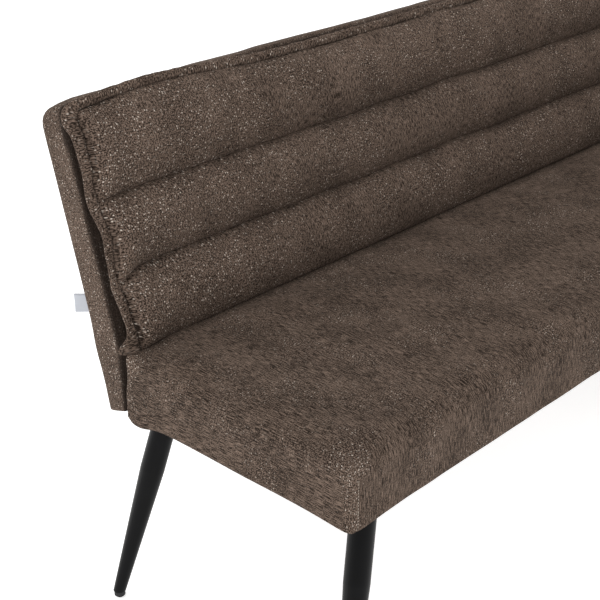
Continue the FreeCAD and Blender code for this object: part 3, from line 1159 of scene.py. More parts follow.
@dataclass
class SeatCushion:
    """The boxed seat of one bench: crowned top, soft edges and a seam up each front corner."""

    bench: Bench
    finish: bpy.types.Material
    edge_radius: float = 0.042
    base_radius: float = 0.012
    rear_pull: float = 0.62
    rear_pull_from_share: float = 0.78
    corner_power: float = 5.0
    top_power: float = 2.2
    base_power: float = 9.0
    lift_from_share: float = 0.35
    crown: float = 0.012
    crown_power: float = 2.4
    crown_end_run: float = 0.22
    fall: float = 0.002
    fall_from_share: float = 0.45
    fall_end_run: float = 0.30
    skirt: float = 0.0050
    base_run: float = 0.05
    rear_bag: float = 0.0125
    rear_bag_place: float = 0.024
    rear_bag_spread: float = 0.036
    front_bag_share: float = 0.45
    front_bag_spread: float = 0.07
    bag_run: float = 0.14
    heel_lift: float = 0.005
    heel_run: float = 0.012
    seam_sink: float = 0.0016
    seam_place: float = 0.012
    seam_spread: float = 0.0035
    seam_middle_share: float = 0.38
    seam_half_share: float = 0.35
    ripple: float = 0.0016
    side_edge: float = 0.02
    side_ripple_share: float = 0.8
    held_ripple_share: float = 0.35
    waves: ClothWaves = ClothWaves(0.21, 0.075, 0.45, 11)
    beside_opening: float = 0.8
    beside_spread: float = 0.015
    peak_opening: float = 0.7
    peak_spread: float = 0.036
    peak_shares: Span = (0.55, 0.9)
    step: float = 0.011
    edge_steps: int = 6
    height_step: float = 0.009
    height_edge: float = 0.03
    height_edge_steps: int = 4
    seam_line: np.ndarray = field(init=False)

    def build(self) -> bpy.types.Object:
        """Make the cushion and hide the solids it stands for.

        Returns:
            The cushion.
        """
        name = f"{self.bench.value}_seat_cover"
        low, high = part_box(name)
        axes = BenchAxes.of(self.bench)
        spans = high - low
        length, depth = (spans.y, spans.x) if axes.swapped else (spans.x, spans.y)
        top = low.z + spans.z - self.crown
        size = np.array([length, depth, top - low.z + self.skirt])
        skin = BoxSkin(
            (
                edged_stations(length, self.step, self.edge_radius, self.edge_steps),
                edged_stations(depth, self.step, self.edge_radius, self.edge_steps),
                edged_stations(size[2], self.height_step, self.height_edge, self.height_edge_steps),
            )
        )
        flat = skin.shares * size
        points = self._rounded(flat, size)
        points[:, 2] += low.z - self.skirt
        points = self._stretched(points, flat, size)
        station = flat[np.argmin(np.abs(flat[:, 0] - self.seam_place)), 0]
        on_front = (flat[:, 0] == station) & (flat[:, 1] < TINY)
        off_middle = np.abs(flat[:, 2] / size[2] - self.seam_middle_share)
        seam = points[on_front & (off_middle < self.seam_half_share)]
        self.seam_line = axes.carry(seam[np.argsort(seam[:, 2])])
        piece = skin_piece(
            f"{self.bench.value}_seat_cushion",
            skin,
            points,
            self._yarn(flat, size),
            axes,
            self.finish,
            {STRETCH: self._opened(flat, size)},
        )
        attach(piece, BODY)
        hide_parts(name, f"{self.bench.value}_seat_foam")
        return piece

    def _rounded(self, flat: np.ndarray, size: np.ndarray) -> np.ndarray:
        """Round the open edges: full above, tight below and at the back, squarer at the upright corners.

        Args:
            flat: Places on the box, one row each.
            size: The box's size.

        Returns:
            Places on the rounded box.
        """
        pulled = self.rear_pull * smooth_step(self.rear_pull_from_share, 1.0, flat[:, 1] / size[1])
        radius = self.edge_radius * (1.0 - pulled)
        base = np.full_like(radius, self.base_radius)
        low = np.column_stack([radius, radius, base])
        high = size - np.column_stack([radius * (self.bench is Bench.SHORT), 0.0 * radius, radius])
        above = flat[:, 2] > size[2] / 2.0
        reach = np.column_stack([radius, radius, np.where(above, radius, base)])
        level_power = np.full_like(radius, self.corner_power)
        upright_power = np.where(above, self.top_power, self.base_power)
        return round_edges(flat, np.clip(flat, low, high), reach, level_power, upright_power)

    def _stretched(self, points: np.ndarray, flat: np.ndarray, size: np.ndarray) -> np.ndarray:
        """Add the crown, the fall to the backs, the corner seams and the cloth's unevenness.

        Args:
            points: The rounded places, which are moved.
            flat: The same places on the box.
            size: The box's size.

        Returns:
            The moved places.
        """
        length = size[0]
        u, v = points[:, 0], points[:, 1]
        lift = smooth_step(self.lift_from_share, 1.0, flat[:, 2] / size[2])
        across = 2.0 * v / size[1] - 1.0
        crown = self.crown * (1.0 - np.clip(np.abs(across), 0.0, 1.0) ** self.crown_power)
        fall = self.fall * smooth_step(self.fall_from_share, 1.0, v / size[1])
        if self.bench is Bench.LONG:
            fall = np.maximum(fall, self.fall * smooth_step(length - self.fall_end_run, length, u))
            crown *= 1.0 - smooth_step(length - self.crown_end_run, length, u)
        points[:, 2] += lift * (crown - fall)
        outward = np.sign(points[:, :2] - size[:2] / 2.0)
        edges = np.minimum(flat[:, :2], size[:2] - flat[:, :2])
        off_seam = np.maximum(np.abs(edges[:, 0] - self.seam_place), edges[:, 1])
        points[:, :2] -= outward * (self.seam_sink * bell(off_seam, self.seam_spread))[:, None]
        wave = self.ripple * self.waves.at(points)
        free = smooth_step(0.0, 0.5, flat[:, 2] / size[2])
        points[:, 2] += wave * (self.held_ripple_share + (1.0 - self.held_ripple_share) * free)
        base = 1.0 - smooth_step(0.0, self.base_run, flat[:, 2])
        rear = size[1] - flat[:, 1]
        bag = bell(rear - self.rear_bag_place, self.rear_bag_spread)
        bag += self.front_bag_share * bell(flat[:, 1], self.front_bag_spread)
        bag *= 1.0 - smooth_step(0.0, self.bag_run, u)
        heel = self.heel_lift * (1.0 - smooth_step(0.0, self.heel_run, rear)) ** 2
        points[:, 2] += base * (heel - self.rear_bag * bag)
        side = 1.0 - smooth_step(0.0, self.base_run, edges.min(axis=1))
        bulge = self.side_ripple_share * wave * side * free
        points[:, :2] += outward * bulge[:, None] * (edges < self.side_edge)
        return points

    def _opened(self, flat: np.ndarray, size: np.ndarray) -> np.ndarray:
        """Pull the cloth open beside the upright seams, most at their upper ends.

        Args:
            flat: Places on the box, one row each.
            size: The box's size.

        Returns:
            How far it is open at each place, from 0 to 1.
        """
        edges = np.minimum(flat[:, :2], size[:2] - flat[:, :2])
        beside = bell(edges.max(axis=1), self.beside_spread)
        peak = bell(np.linalg.norm(edges - self.seam_place / 2.0, axis=1), self.peak_spread)
        upper = smooth_step(*self.peak_shares, flat[:, 2] / size[2])
        return np.clip(self.beside_opening * beside + self.peak_opening * peak * upper, 0.0, 1.0)

    def _yarn(self, flat: np.ndarray, size: np.ndarray) -> dict[Side, np.ndarray]:
        """Run the yarn front to back over the top and down the front, and level along the ends.

        Args:
            flat: Places on the box, one row each.
            size: The box's size.

        Returns:
            Yarn places as each side lays them, one row for each place.
        """
        down = size[2] - flat[:, 2:]
        ways = {Side.START: (-1.0, 0.0), Side.END: (1.0, 0.0), Side.NEAR: (0.0, -1.0), Side.FAR: (0.0, 1.0)}
        return {side: flat[:, :2] + down * np.array(ways.get(side, (0.0, 0.0))) for side in Side}


def corner_place(bench: Bench) -> float:
    """Place along a bench of the upright line where the two back planes meet.

    Args:
        bench: Which bench.

    Returns:
        The place, in metres from the free end.
    """
    low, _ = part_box(f"{bench.value}_seat_cover")
    long_low, long_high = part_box("long_seat_cover")
    return long_high.x - low.x if bench is Bench.LONG else long_high.y - low.y


def to_mitre(share: np.ndarray, v: np.ndarray, bench: Bench, plane: float, gap: float) -> np.ndarray:
    """Places along a bench whose far ends lie on the mitre plane.

    Args:
        share: Shares of the length.
        v: Depth of each place.
        bench: Which bench.
        plane: Depth at which the mitre passes the corner line.
        gap: Clearance to the mitre.

    Returns:
        Places along the bench.
    """
    corner = corner_place(bench) - gap
    return share * corner + smooth_step(MITRE_FROM_SHARE, 1.0, share) * (v - plane)


@dataclass
class BackShell:
    """The outer back of one bench: a reclined padded shell with a rounded top and a soft free end."""

    bench: Bench
    finish: bpy.types.Material
    line: BackLine = field(default_factory=BackLine)
    top_radius: float = 0.033
    front_radius: float = 0.011
    side_radius: float = 0.012
    base_radius: float = 0.008
    front_power: float = 2.4
    top_power: float = 2.3
    tight_power: float = 7.0
    recess: float = 0.007
    recess_from: float = 0.006
    recess_run: float = 0.0134
    recess_steps: int = 4
    foot_run: float = 0.08
    foot_drop: float = 0.006
    foot_slope: float = 0.015
    foot_bulge: float = 0.006
    foot_bulge_place: float = 0.10
    foot_bulge_spread: float = 0.05
    # Painted shade behind the pad's border: where it starts and stops fading in front of the back, and how
    # much further it reaches near the top corner.
    painted_shade_from: float = 0.004
    painted_shade_to: float = 0.0165
    corner_painted_shade: float = 0.008
    corner_painted_shade_below: Span = (0.085, 0.05)
    corner_run: Span = (0.012, 0.05)
    top_edge: float = 0.010
    end_run: float = 0.03
    end_opening: float = 0.35
    gap: float = 0.0012
    puff_places: tuple[float, ...] = (0.0, 0.02, 0.05, 0.25, 0.45, 0.6, 0.8)
    puff: tuple[float, ...] = (-0.005, 0.002, 0.006, 0.0065, 0.0065, 0.0065, 0.003)
    puff_from_share: float = 0.6
    ripple: float = 0.0014
    end_ripple_share: float = 0.8
    waves: ClothWaves = ClothWaves(0.17, 0.06, 0.4, 32)
    yarn_shift: float = 3.1
    step: float = 0.013
    depth_step: float = 0.0065
    height_step: float = 0.011
    height_edge: float = 0.035
    height_edge_steps: int = 5

    def build(self) -> bpy.types.Object:
        """Make the shell and hide the solids it stands for.

        Returns:
            The shell.
        """
        axes = BenchAxes.of(self.bench)
        length = corner_place(self.bench)
        size = np.array([length, self.line.thickness, self.line.height])
        skin = BoxSkin(
            (
                edged_stations(length, self.step, self.recess_run, self.recess_steps),
                even_stations(size[1], self.depth_step),
                edged_stations(size[2], self.height_step, self.height_edge, self.height_edge_steps),
            )
        )
        flat = skin.shares * size
        local = self._rounded(flat, size)
        sunk = self.recess * (1.0 - smooth_step(self.recess_from, self.recess_run, local[:, 0])) / size[1]
        depth = (sunk + (1.0 - sunk) * local[:, 1] / size[1])[:, None]
        front = self.line.front(np.clip(local[:, 2], 0.0, size[2]))
        rear = self.line.rear(np.clip(local[:, 2], 0.0, size[2]))
        section = front + (rear - front) * depth
        swell = bell(flat[:, 2] - self.foot_bulge_place, self.foot_bulge_spread)
        section[:, 0] += self.foot_bulge * depth[:, 0] * swell
        u = to_mitre(local[:, 0] / length, section[:, 0], self.bench, self.line.plane, self.gap)
        points = np.column_stack([u, section])
        puff = np.interp(u, self.puff_places, self.puff)
        points[:, 2] += puff * smooth_step(self.puff_from_share, 1.0, flat[:, 2] / size[2])
        low = 1.0 - smooth_step(0.0, self.foot_run, flat[:, 2])
        points[:, 2] -= low * (self.foot_drop + self.foot_slope * depth[:, 0])
        wave = self.ripple * self.waves.at(points)
        points[:, 1] += wave * np.where(depth[:, 0] > 0.5, 1.0, 0.0)
        at_end = 1.0 - smooth_step(0.0, self.end_run, u)
        points[:, 0] += self.end_ripple_share * wave * at_end
        # Painted shade on the cloth in the tuck behind the pad's border.
        stretch_and_shade = {PAINTED_SHADE: self._painted_shade(flat, local, size), STRETCH: self.end_opening * at_end}
        name = f"{self.bench.value}_back_shell"
        piece = skin_piece(name, skin, points, self._yarn(flat, size), axes, self.finish, stretch_and_shade)
        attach(piece, BODY)
        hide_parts(f"{self.bench.value}_back_cover", f"{self.bench.value}_back_wadding")
        return piece

    def _painted_shade(self, flat: np.ndarray, local: np.ndarray, size: np.ndarray) -> np.ndarray:
        """How much painted shade the cloth takes in the tuck behind the pad's border.

        Args:
            flat: Places on the box, one row each.
            local: The same places after rounding.
            size: The box's size.

        Returns:
            Shares of painted shade from 0 to 1.
        """
        # Painted shade fades in front of the back, reaches further in near the top corner and is narrowed
        # over the top behind the border.
        past_corner = smooth_step(*self.corner_run, flat[:, 0])
        below, above = self.corner_painted_shade_below
        deeper = self.corner_painted_shade * smooth_step(size[2] - below, size[2] - above, local[:, 2])
        tuck = 1.0 - smooth_step(self.painted_shade_from, self.painted_shade_to, local[:, 1] - deeper * (1.0 - past_corner))
        over = smooth_step(size[2] - self.top_radius, size[2] - self.top_edge, flat[:, 2]) * past_corner
        behind = smooth_step(0.5 * self.painted_shade_from, 2.0 * self.painted_shade_from, local[:, 1])
        return tuck * (1.0 - over * behind)

    def _rounded(self, flat: np.ndarray, size: np.ndarray) -> np.ndarray:
        """Round the shell: full over the top and at the front of its end, tight behind and below.

        Args:
            flat: Places on the box, one row each.
            size: The box's size.

        Returns:
            Places on the rounded box.
        """
        low = np.array([self.side_radius, self.front_radius, self.base_radius])
        high = np.array([size[0], size[1] - self.top_radius, size[2] - self.top_radius])
        core = np.clip(flat, low, high)
        reach = np.where(flat < core, low, self.top_radius)
        level_power = np.where(flat[:, 1] < core[:, 1], self.front_power, self.tight_power)
        upright_power = np.where(flat[:, 2] > core[:, 2], self.top_power, self.tight_power)
        return round_edges(flat, core, reach, level_power, upright_power)

    def _yarn(self, flat: np.ndarray, size: np.ndarray) -> dict[Side, np.ndarray]:
        """Run the yarn up the back, over its top and up its free end.

        Args:
            flat: Places on the box, one row each.
            size: The box's size.

        Returns:
            Yarn places as each side lays them, one row for each place.
        """
        u, depth, rise = flat.T
        end = np.column_stack([depth + self.yarn_shift, rise])
        over = np.column_stack([u, size[2] + size[1] - depth])
        plain = dict.fromkeys(Side, np.column_stack([u, rise]))
        return plain | {Side.START: end, Side.END: end, Side.TOP: over}


@dataclass
class PadBorder:
    """Where a pad's sewn border runs, up the free end and along the top, in the back's front plane.

    Each edge of the border up the free end is a row of (height up the plane, place along the bench).
    """

    top_width: float = 0.0165
    seams: tuple[float, ...] = (0.136, 0.263)
    top_seam: float = 0.405
    top_lift: float = 0.017
    lift_place: float = 0.17
    lift_spread: float = 0.19
    soft_run: float = 0.006
    soft_steps: int = 7
    outer_edge: tuple[Span, ...] = (
        (0.025, 0.0035), (0.040, 0.0075), (0.068, 0.0045), (0.095, -0.0005), (0.121, -0.0045),
        (0.153, -0.0005), (0.178, 0.0), (0.202, 0.0045), (0.222, -0.0005), (0.252, -0.0095),
        (0.277, -0.0110), (0.294, -0.0085), (0.308, -0.0055), (0.360, -0.0085), (0.378, -0.0095),
        (0.389, -0.0190), (0.398, -0.0245),
    )
    inner_edge: tuple[Span, ...] = (
        (0.013, 0.0305), (0.031, 0.0285), (0.056, 0.0225), (0.086, 0.0225), (0.122, 0.0115),
        (0.143, 0.0115), (0.172, 0.0175), (0.197, 0.0225), (0.221, 0.0165), (0.253, 0.0135),
        (0.272, 0.0115), (0.291, 0.0095), (0.314, 0.0170), (0.336, 0.0155), (0.365, 0.0165),
        (0.388, 0.0135),
    )

    def outer(self, slope: np.ndarray) -> np.ndarray:
        """Place along the bench of the border's free edge at heights up the pad."""
        return self._along(slope, self.outer_edge)

    def inner(self, slope: np.ndarray) -> np.ndarray:
        """Place along the bench of the border's sewn edge at heights up the pad."""
        return self._along(slope, self.inner_edge)

    def top(self, u: np.ndarray) -> np.ndarray:
        """Height of the seam under the top border at places along the bench."""
        return self.top_seam + self.top_lift * bell(u - self.lift_place, self.lift_spread)

    def _along(self, slope: np.ndarray, edge: tuple[Span, ...]) -> np.ndarray:
        """Read a softened edge.

        Args:
            slope: Heights up the pad.
            edge: The edge's rows.

        Returns:
            Places along the bench.
        """
        heights, places = np.array(edge).T
        spread = np.linspace(-self.soft_run, self.soft_run, self.soft_steps)
        return np.mean([np.interp(slope + offset, heights, places) for offset in spread], axis=0)


@dataclass
class ChannelPad:
    """The front pad of one back: three stuffed channels that draw in at the free end."""

    bench: Bench
    finish: bpy.types.Material
    line: BackLine = field(default_factory=BackLine)
    border: PadBorder = field(default_factory=PadBorder)
    lowest_seam: float = 0.001
    start: float = 0.022
    base: float = 0.0008
    seam_level: float = 0.005
    end_level: float = 0.009
    end_level_run: float = 0.06
    depth: float = 0.036
    fullness: float = 2.1
    shoulder: float = 0.62
    end_run: float = 0.050
    end_power: float = 2.3
    mitre_run: float = 0.030
    mitre_power: float = 2.2
    mitre_share: float = 0.45
    gap: float = 0.0015
    settle_share: float = 0.75
    settle_run: float = 0.09
    drawn_run: float = 0.22
    pucker: float = 0.0016
    pucker_waves: ClothWaves = ClothWaves(0.030, 0.013, 0.7, 21)
    pucker_seam_share: float = 0.16
    pucker_end_run: float = 0.07
    pucker_end_share: float = 0.7
    uneven_share: float = 0.05
    uneven_wave: float = 0.33
    uneven_seed: int = 23
    seam_dip: float = 0.016
    seam_dip_spread: float = 0.035
    seam_dip_run: float = 0.05
    seam_sway: float = 0.0016
    seam_sway_wave: float = 0.16
    seam_sway_seed: int = 24
    held_run: float = 0.05
    top_rise_to: float = 0.4
    end_opening: float = 0.35
    end_opening_run: float = 0.30
    swell: ClothSwell = ClothSwell()
    step: float = 0.0085
    end_edge: float = 0.06
    end_edge_steps: int = 10
    channel_steps: int = 16

    def build(self) -> bpy.types.Object:
        """Make the pad, swell it and hide the solids it stands for.

        Returns:
            The pad.
        """
        axes = BenchAxes.of(self.bench)
        length = corner_place(self.bench)
        along = edged_stations(length, self.step, self.end_edge, self.end_edge_steps)
        skin = BoxSkin((along, even_stations(1.0, 0.5), self._heights()))
        u_share, depth_share, height = skin.shares.T
        slope = height * self.border.top_seam
        u_plan = u_share * (length - self.start)
        forward = self._front(slope, u_plan, length - self.start - u_plan)
        forward = self.base + (1.0 - depth_share) * (forward - self.base)
        sewn_slope = self._sewn(slope, u_plan)
        low = 1.0 - smooth_step(0.0, self.settle_run, slope)
        rest = self.settle_share * math.tan(self.line.recline) * forward * low
        v, z = self.line.on_front(sewn_slope - rest, forward)
        span = (length - self.start) / length
        u = self.start + span * to_mitre(u_share, (v - self.line.plane) / span, self.bench, 0.0, self.gap)
        drawn = self.border.inner(sewn_slope) - self.start
        u = u + drawn * (1.0 - smooth_step(0.0, self.drawn_run, u_plan))
        points = np.column_stack([u, v, z])
        flat = np.column_stack([u_plan, forward, sewn_slope])
        stretch_and_shade = {STRETCH: self.end_opening * bell(u_plan, self.end_opening_run)}
        name = f"{self.bench.value}_back_pad"
        piece = skin_piece(name, skin, points, self._yarn(flat), axes, self.finish, stretch_and_shade)
        seam_gap = np.min([np.abs(slope - seam) for seam in self.border.seams], axis=0)
        rim = (depth_share > TINY) | (u_share < TINY) | (u_share > 1.0 - TINY)
        rim |= (height < TINY) | (height > 1.0 - TINY) | (seam_gap < TINY)
        ahead = np.array([[0.0, -math.cos(self.line.recline), math.sin(self.line.recline)]])
        self.swell.settle(piece, rim, axes.turn(ahead)[0])
        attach(piece, BODY)
        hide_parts(f"{self.bench.value}_pad_cover", f"{self.bench.value}_pad_foam")
        return piece

    def _levels(self) -> tuple[float, ...]:
        """Heights of the sewn lines, from the seat up."""
        return (0.0, *self.border.seams, self.border.top_seam)

    def _heights(self) -> np.ndarray:
        """Space the stations up the pad, closer beside each sewn seam.

        Returns:
            Shares of the pad's height from 0 to 1.
        """
        levels = self._levels()
        turns = 0.5 - 0.5 * np.cos(np.linspace(0.0, math.pi, self.channel_steps + 1))
        runs = [low + (high - low) * turns[:-1] for low, high in zip(levels[:-1], levels[1:])]
        return np.concatenate([*runs, [levels[-1]]]) / levels[-1]

    def _sewn(self, slope: np.ndarray, u: np.ndarray) -> np.ndarray:
        """Raise the top seam and dip the lower seam at the free end.

        Args:
            slope: Heights up the pad.
            u: Places along the pad from its free end.

        Returns:
            Heights up the sewn pad.
        """
        upper = smooth_step(self.border.seams[1], self.top_rise_to, slope)
        rise = (self.border.top(u) - self.border.top_seam) * upper
        near = bell(slope - self.border.seams[0], self.seam_dip_spread)
        dip = self.seam_dip * (1.0 - smooth_step(0.0, self.seam_dip_run, u)) * near
        places = np.column_stack([u, 0.0 * u, 0.0 * u])
        sway = self.seam_sway * hand_waves(places, self.seam_sway_wave, self.seam_sway_seed)
        held = smooth_step(0.0, self.held_run, slope)
        return slope + rise - dip + sway * held

    def _front(self, slope: np.ndarray, u: np.ndarray, to_end: np.ndarray) -> np.ndarray:
        """Stuff the channels.

        Args:
            slope: Heights up the pad.
            u: Places along the pad from its free end.
            to_end: Distances to the pad's end at the mitre.

        Returns:
            Distances of the front from the back's plane.
        """
        levels = np.array((self.lowest_seam, *self._levels()[1:]))
        index = np.clip(np.searchsorted(levels, slope, side="right") - 1, 0, len(levels) - 2)
        low, high = levels[index], levels[index + 1]
        half = np.abs(2.0 * (slope - low) / (high - low) - 1.0)
        bulge = np.clip(1.0 - half**self.fullness, 0.0, 1.0) ** self.shoulder
        places = np.column_stack([u, slope, np.zeros_like(u)])
        near_seam = np.exp(-((1.0 - half) / self.pucker_seam_share))
        near_end = self.pucker_end_share * np.exp(-u / self.pucker_end_run)
        end = round_over(u / self.end_run, self.end_power)
        into_mitre = round_over(to_end / self.mitre_run, self.mitre_power)
        mitre = self.mitre_share + (1.0 - self.mitre_share) * into_mitre
        creased = np.clip(near_seam + near_end, 0.0, 1.0) * bulge
        crease = self.pucker * self.pucker_waves.at(places) * creased
        slow = 1.0 + self.uneven_share * hand_waves(places, self.uneven_wave, self.uneven_seed)
        ledge = self.end_level * (1.0 - smooth_step(0.0, self.end_level_run, u))
        return self.seam_level + ledge + (self.depth * bulge * slow + crease) * end * mitre

    def _yarn(self, flat: np.ndarray) -> dict[Side, np.ndarray]:
        """Run the yarn up the pad and over its top.

        Args:
            flat: Places along, in front of and up the pad, one row each.

        Returns:
            Yarn places as each side lays them, one row for each place.
        """
        u, forward, slope = flat.T
        end = np.column_stack([u - forward, slope])
        over = np.column_stack([u, slope + forward])
        plain = dict.fromkeys(Side, np.column_stack([u, slope]))
        return plain | {Side.START: end, Side.END: end, Side.TOP: over}


@dataclass
class PadFlange:
    """The narrow sewn border that runs up the pad's free end and along its top."""

    bench: Bench
    finish: bpy.types.Material
    line: BackLine = field(default_factory=BackLine)
    border: PadBorder = field(default_factory=PadBorder)
    thickness: float = 0.0085
    tuck: float = 0.005
    sink: float = 0.008
    lift: float = 0.0098
    top_lift: float = 0.0045
    tail: tuple[tuple[float, float, float, float], ...] = (
        (-0.010, 0.002, 0.030, -0.006), (-0.023, 0.004, 0.031, -0.001), (-0.028, 0.010, 0.031, 0.004),
        (-0.021, 0.017, 0.031, 0.010), (-0.007, 0.0205, 0.031, 0.016), (0.003, 0.0255, 0.030, 0.023),
    )
    corner: tuple[tuple[float, float, float, float], ...] = (
        (-0.0245, 0.399, 0.0135, 0.396), (-0.0225, 0.412, 0.0140, 0.402), (-0.0165, 0.424, 0.0145, 0.406),
        (-0.006, 0.4295, 0.0155, 0.409), (0.007, 0.4310, 0.0180, 0.4125),
    )
    side_run: Span = (0.031, 0.391)
    top_from: float = 0.021
    soft_rounds: int = 2
    gap: float = 0.0015
    pucker: float = 0.0016
    flare_share: float = 0.8
    curl_share: float = 0.9
    edge_sway_share: float = 0.032
    waves: ClothWaves = ClothWaves(0.05, 0.021, 0.6, 41)
    lift_spread: float = 0.12
    tail_share: float = 0.7
    tail_run: float = 0.03
    sewn_range: Span = (0.04, 0.38)
    section_power: float = 2.8
    yarn_shift: float = 7.0
    step: float = 0.005
    ring: int = 20

    def build(self) -> bpy.types.Object:
        """Make the border.

        Returns:
            The border.
        """
        axes = BenchAxes.of(self.bench)
        outer_edge, inner_edge = np.split(self._edges(), 2, axis=1)
        path, wide = 0.5 * (outer_edge + inner_edge), outer_edge - inner_edge
        run = np.concatenate([[0.0], np.cumsum(np.linalg.norm(np.diff(path, axis=0), axis=1))])
        turn = np.linspace(0.0, 2.0 * math.pi, self.ring, endpoint=False)
        power = 2.0 / self.section_power
        across = np.sign(np.cos(turn)) * np.abs(np.cos(turn)) ** power / 2.0
        through = np.sign(np.sin(turn)) * np.abs(np.sin(turn)) ** power / 2.0
        lines = np.column_stack([run, np.zeros_like(run), np.zeros_like(run)])
        sway = self.waves.at(lines)
        full = self.tail_share + (1.0 - self.tail_share) * smooth_step(0.0, self.tail_run, run)
        reach = across[None, :] + self.edge_sway_share * sway[:, None]
        u = path[:, :1] + wide[:, :1] * reach
        slope = path[:, 1:] + wide[:, 1:] * reach
        outer = across[None, :] + 0.5
        near_end = bell(np.maximum(path[:, :1], 0.0), self.lift_spread)
        lift = self.top_lift + (self.lift - self.top_lift) * near_end
        level = lift + self.thickness * (0.5 + through[None, :] * full[:, None])
        level = level + self.pucker * outer * (self.flare_share + self.curl_share * sway[:, None])
        sewn = 1.0 - smooth_step(*self.sewn_range, outer)
        level = level - self.sink * sewn
        v, z = self.line.on_front(slope, np.maximum(level, 0.5 * self.top_lift))
        u[-1] = corner_place(self.bench) - self.gap + (v[-1] - self.line.plane)
        points = np.column_stack([u.ravel(), v.ravel(), z.ravel()])
        quads, weave = self._faces(run)
        if axes.swapped:
            quads = quads[:, ::-1]
            weave = weave.reshape(-1, 4, 2)[:, ::-1].reshape(-1, 2)
        # Painted shade on the border's sewn part, where it sinks into the seam.
        stretch_and_shade = {PAINTED_SHADE: np.broadcast_to(sewn, u.shape).ravel()}
        piece = mesh_piece(
            f"{self.bench.value}_pad_flange", axes.carry(points), quads, weave, self.finish, stretch_and_shade
        )
        close_ends(piece, self.ring)
        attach(piece, BODY)
        return piece

    def _edges(self) -> np.ndarray:
        """Draw the border's free and sewn edge in the pad's plane.

        Returns:
            Rows of u and slope of the free edge, then of the sewn edge.
        """
        border = self.border
        rise = np.arange(*self.side_run, self.step)
        side = np.column_stack([border.outer(rise), rise, border.inner(rise), rise])
        middle = border.top_seam + border.top_width / 2.0
        far = corner_place(self.bench) - self.gap + middle * math.sin(self.line.recline)
        run = np.append(np.arange(self.top_from, far - self.step, self.step), far)
        top = np.column_stack([run, border.top(run) + border.top_width, run, border.top(run)])
        line = np.concatenate([np.array(self.tail), side, np.array(self.corner), top])
        for _ in range(self.soft_rounds):
            line[1:-1] = 0.25 * line[:-2] + 0.5 * line[1:-1] + 0.25 * line[2:]
        inward = line[:, 2:] - line[:, :2]
        line[:, 2:] += self.tuck * inward / np.linalg.norm(inward, axis=1, keepdims=True)
        return line

    def _faces(self, run: np.ndarray) -> tuple[np.ndarray, np.ndarray]:
        """Join the rings of the border.

        Args:
            run: Length along the border at each ring.

        Returns:
            Vertex numbers of each face, and yarn places of the face corners.
        """
        ring = np.arange(self.ring)
        after = (ring + 1) % self.ring
        girth = np.linspace(0.0, 2.0 * (self.border.top_width + self.thickness), self.ring + 1)
        low, high = girth[:-1], girth[1:]
        quads = []
        weave = []
        for index in range(len(run) - 1):
            a, b = index * self.ring, (index + 1) * self.ring
            quads.append(np.column_stack([a + ring, b + ring, b + after, a + after]))
            here = np.full_like(low, run[index] + self.yarn_shift)
            there = np.full_like(low, run[index + 1] + self.yarn_shift)
            corners = [(here, low), (there, low), (there, high), (here, high)]
            weave.append(np.stack([np.column_stack(pair) for pair in corners], axis=1).reshape(-1, 2))
        return np.concatenate(quads), np.concatenate(weave)


def close_ends(piece: bpy.types.Object, ring: int) -> None:
    """Close both ends of a swept tube and turn its faces outwards.

    Args:
        piece: The tube, whose first and last rings are its first and last vertices.
        ring: Vertices in a ring.
    """
    work = bmesh.new()
    work.from_mesh(piece.data)
    work.verts.ensure_lookup_table()
    for ends in (work.verts[:ring], work.verts[-ring:]):
        work.faces.new(list(ends))
    bmesh.ops.recalc_face_normals(work, faces=work.faces)
    for face in work.faces:
        face.smooth = True
    work.to_mesh(piece.data)
    work.free()


@dataclass
class TextileTag:
    """The blank tape folded into the rear edge seam of the long back."""

    finish: bpy.types.Material
    thickness: float = 0.0007
    root: Span = (0.0053, -0.0058)
    spread: float = 0.0026
    root_share: float = 0.35
    fold_power: float = 3.0
    length_share: float = 1.15
    flare_share: float = 0.20
    curl: float = 0.0012
    curl_turn: float = 2.4
    columns: int = 14
    rows: int = 8

    def build(self) -> bpy.types.Object:
        """Make the folded tape where its solid is.

        Returns:
            The tag.
        """
        low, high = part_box("textile_tag")
        height = high.z - low.z
        inner = np.array([high.x, low.y]) + np.array(self.root)
        slant = np.array([0.0, (high.y - low.y) - (high.x - low.x)])
        outward = np.array([-1.0, 1.0]) / math.sqrt(2.0)
        sideways = np.array([1.0, 1.0]) / math.sqrt(2.0)
        reach = (high.x - low.x) * math.sqrt(2.0)
        fold = np.linspace(-1.0, 1.0, 2 * self.columns + 1)
        out = reach * (1.0 - np.abs(fold) ** self.fold_power)
        belly = self.root_share + (1.0 - self.root_share) * (1.0 - fold**2)
        apart = self.spread / 2.0 * np.sin(fold * math.pi / 2.0) * belly
        rise = np.linspace(0.0, 1.0, self.rows + 1)
        points = []
        for level in rise:
            root = inner + slant * level
            curl = self.curl * math.sin(self.curl_turn * level)
            longer = self.length_share + self.flare_share * (1.0 - level)
            flat = root[None, :] + outward[None, :] * out[:, None] * longer
            flat = flat + sideways[None, :] * (apart + curl * (out / reach) ** 2)[:, None]
            points.append(np.column_stack([flat, np.full(len(flat), low.z + height * level)]))
        grid = np.arange((self.rows + 1) * len(fold)).reshape(self.rows + 1, len(fold))
        corners = (grid[:-1, :-1], grid[:-1, 1:], grid[1:, 1:], grid[1:, :-1])
        quads = np.stack([corner.ravel() for corner in corners], axis=1)
        weave = np.concatenate(points)[quads.ravel()][:, [1, 2]]
        piece = mesh_piece("folded_tag", np.concatenate(points), quads, weave, self.finish)
        thicken = piece.modifiers.new("tape", "SOLIDIFY")
        thicken.thickness = self.thickness
        thicken.offset = 0.0
        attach(piece, BODY)
        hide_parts("textile_tag")
        return piece


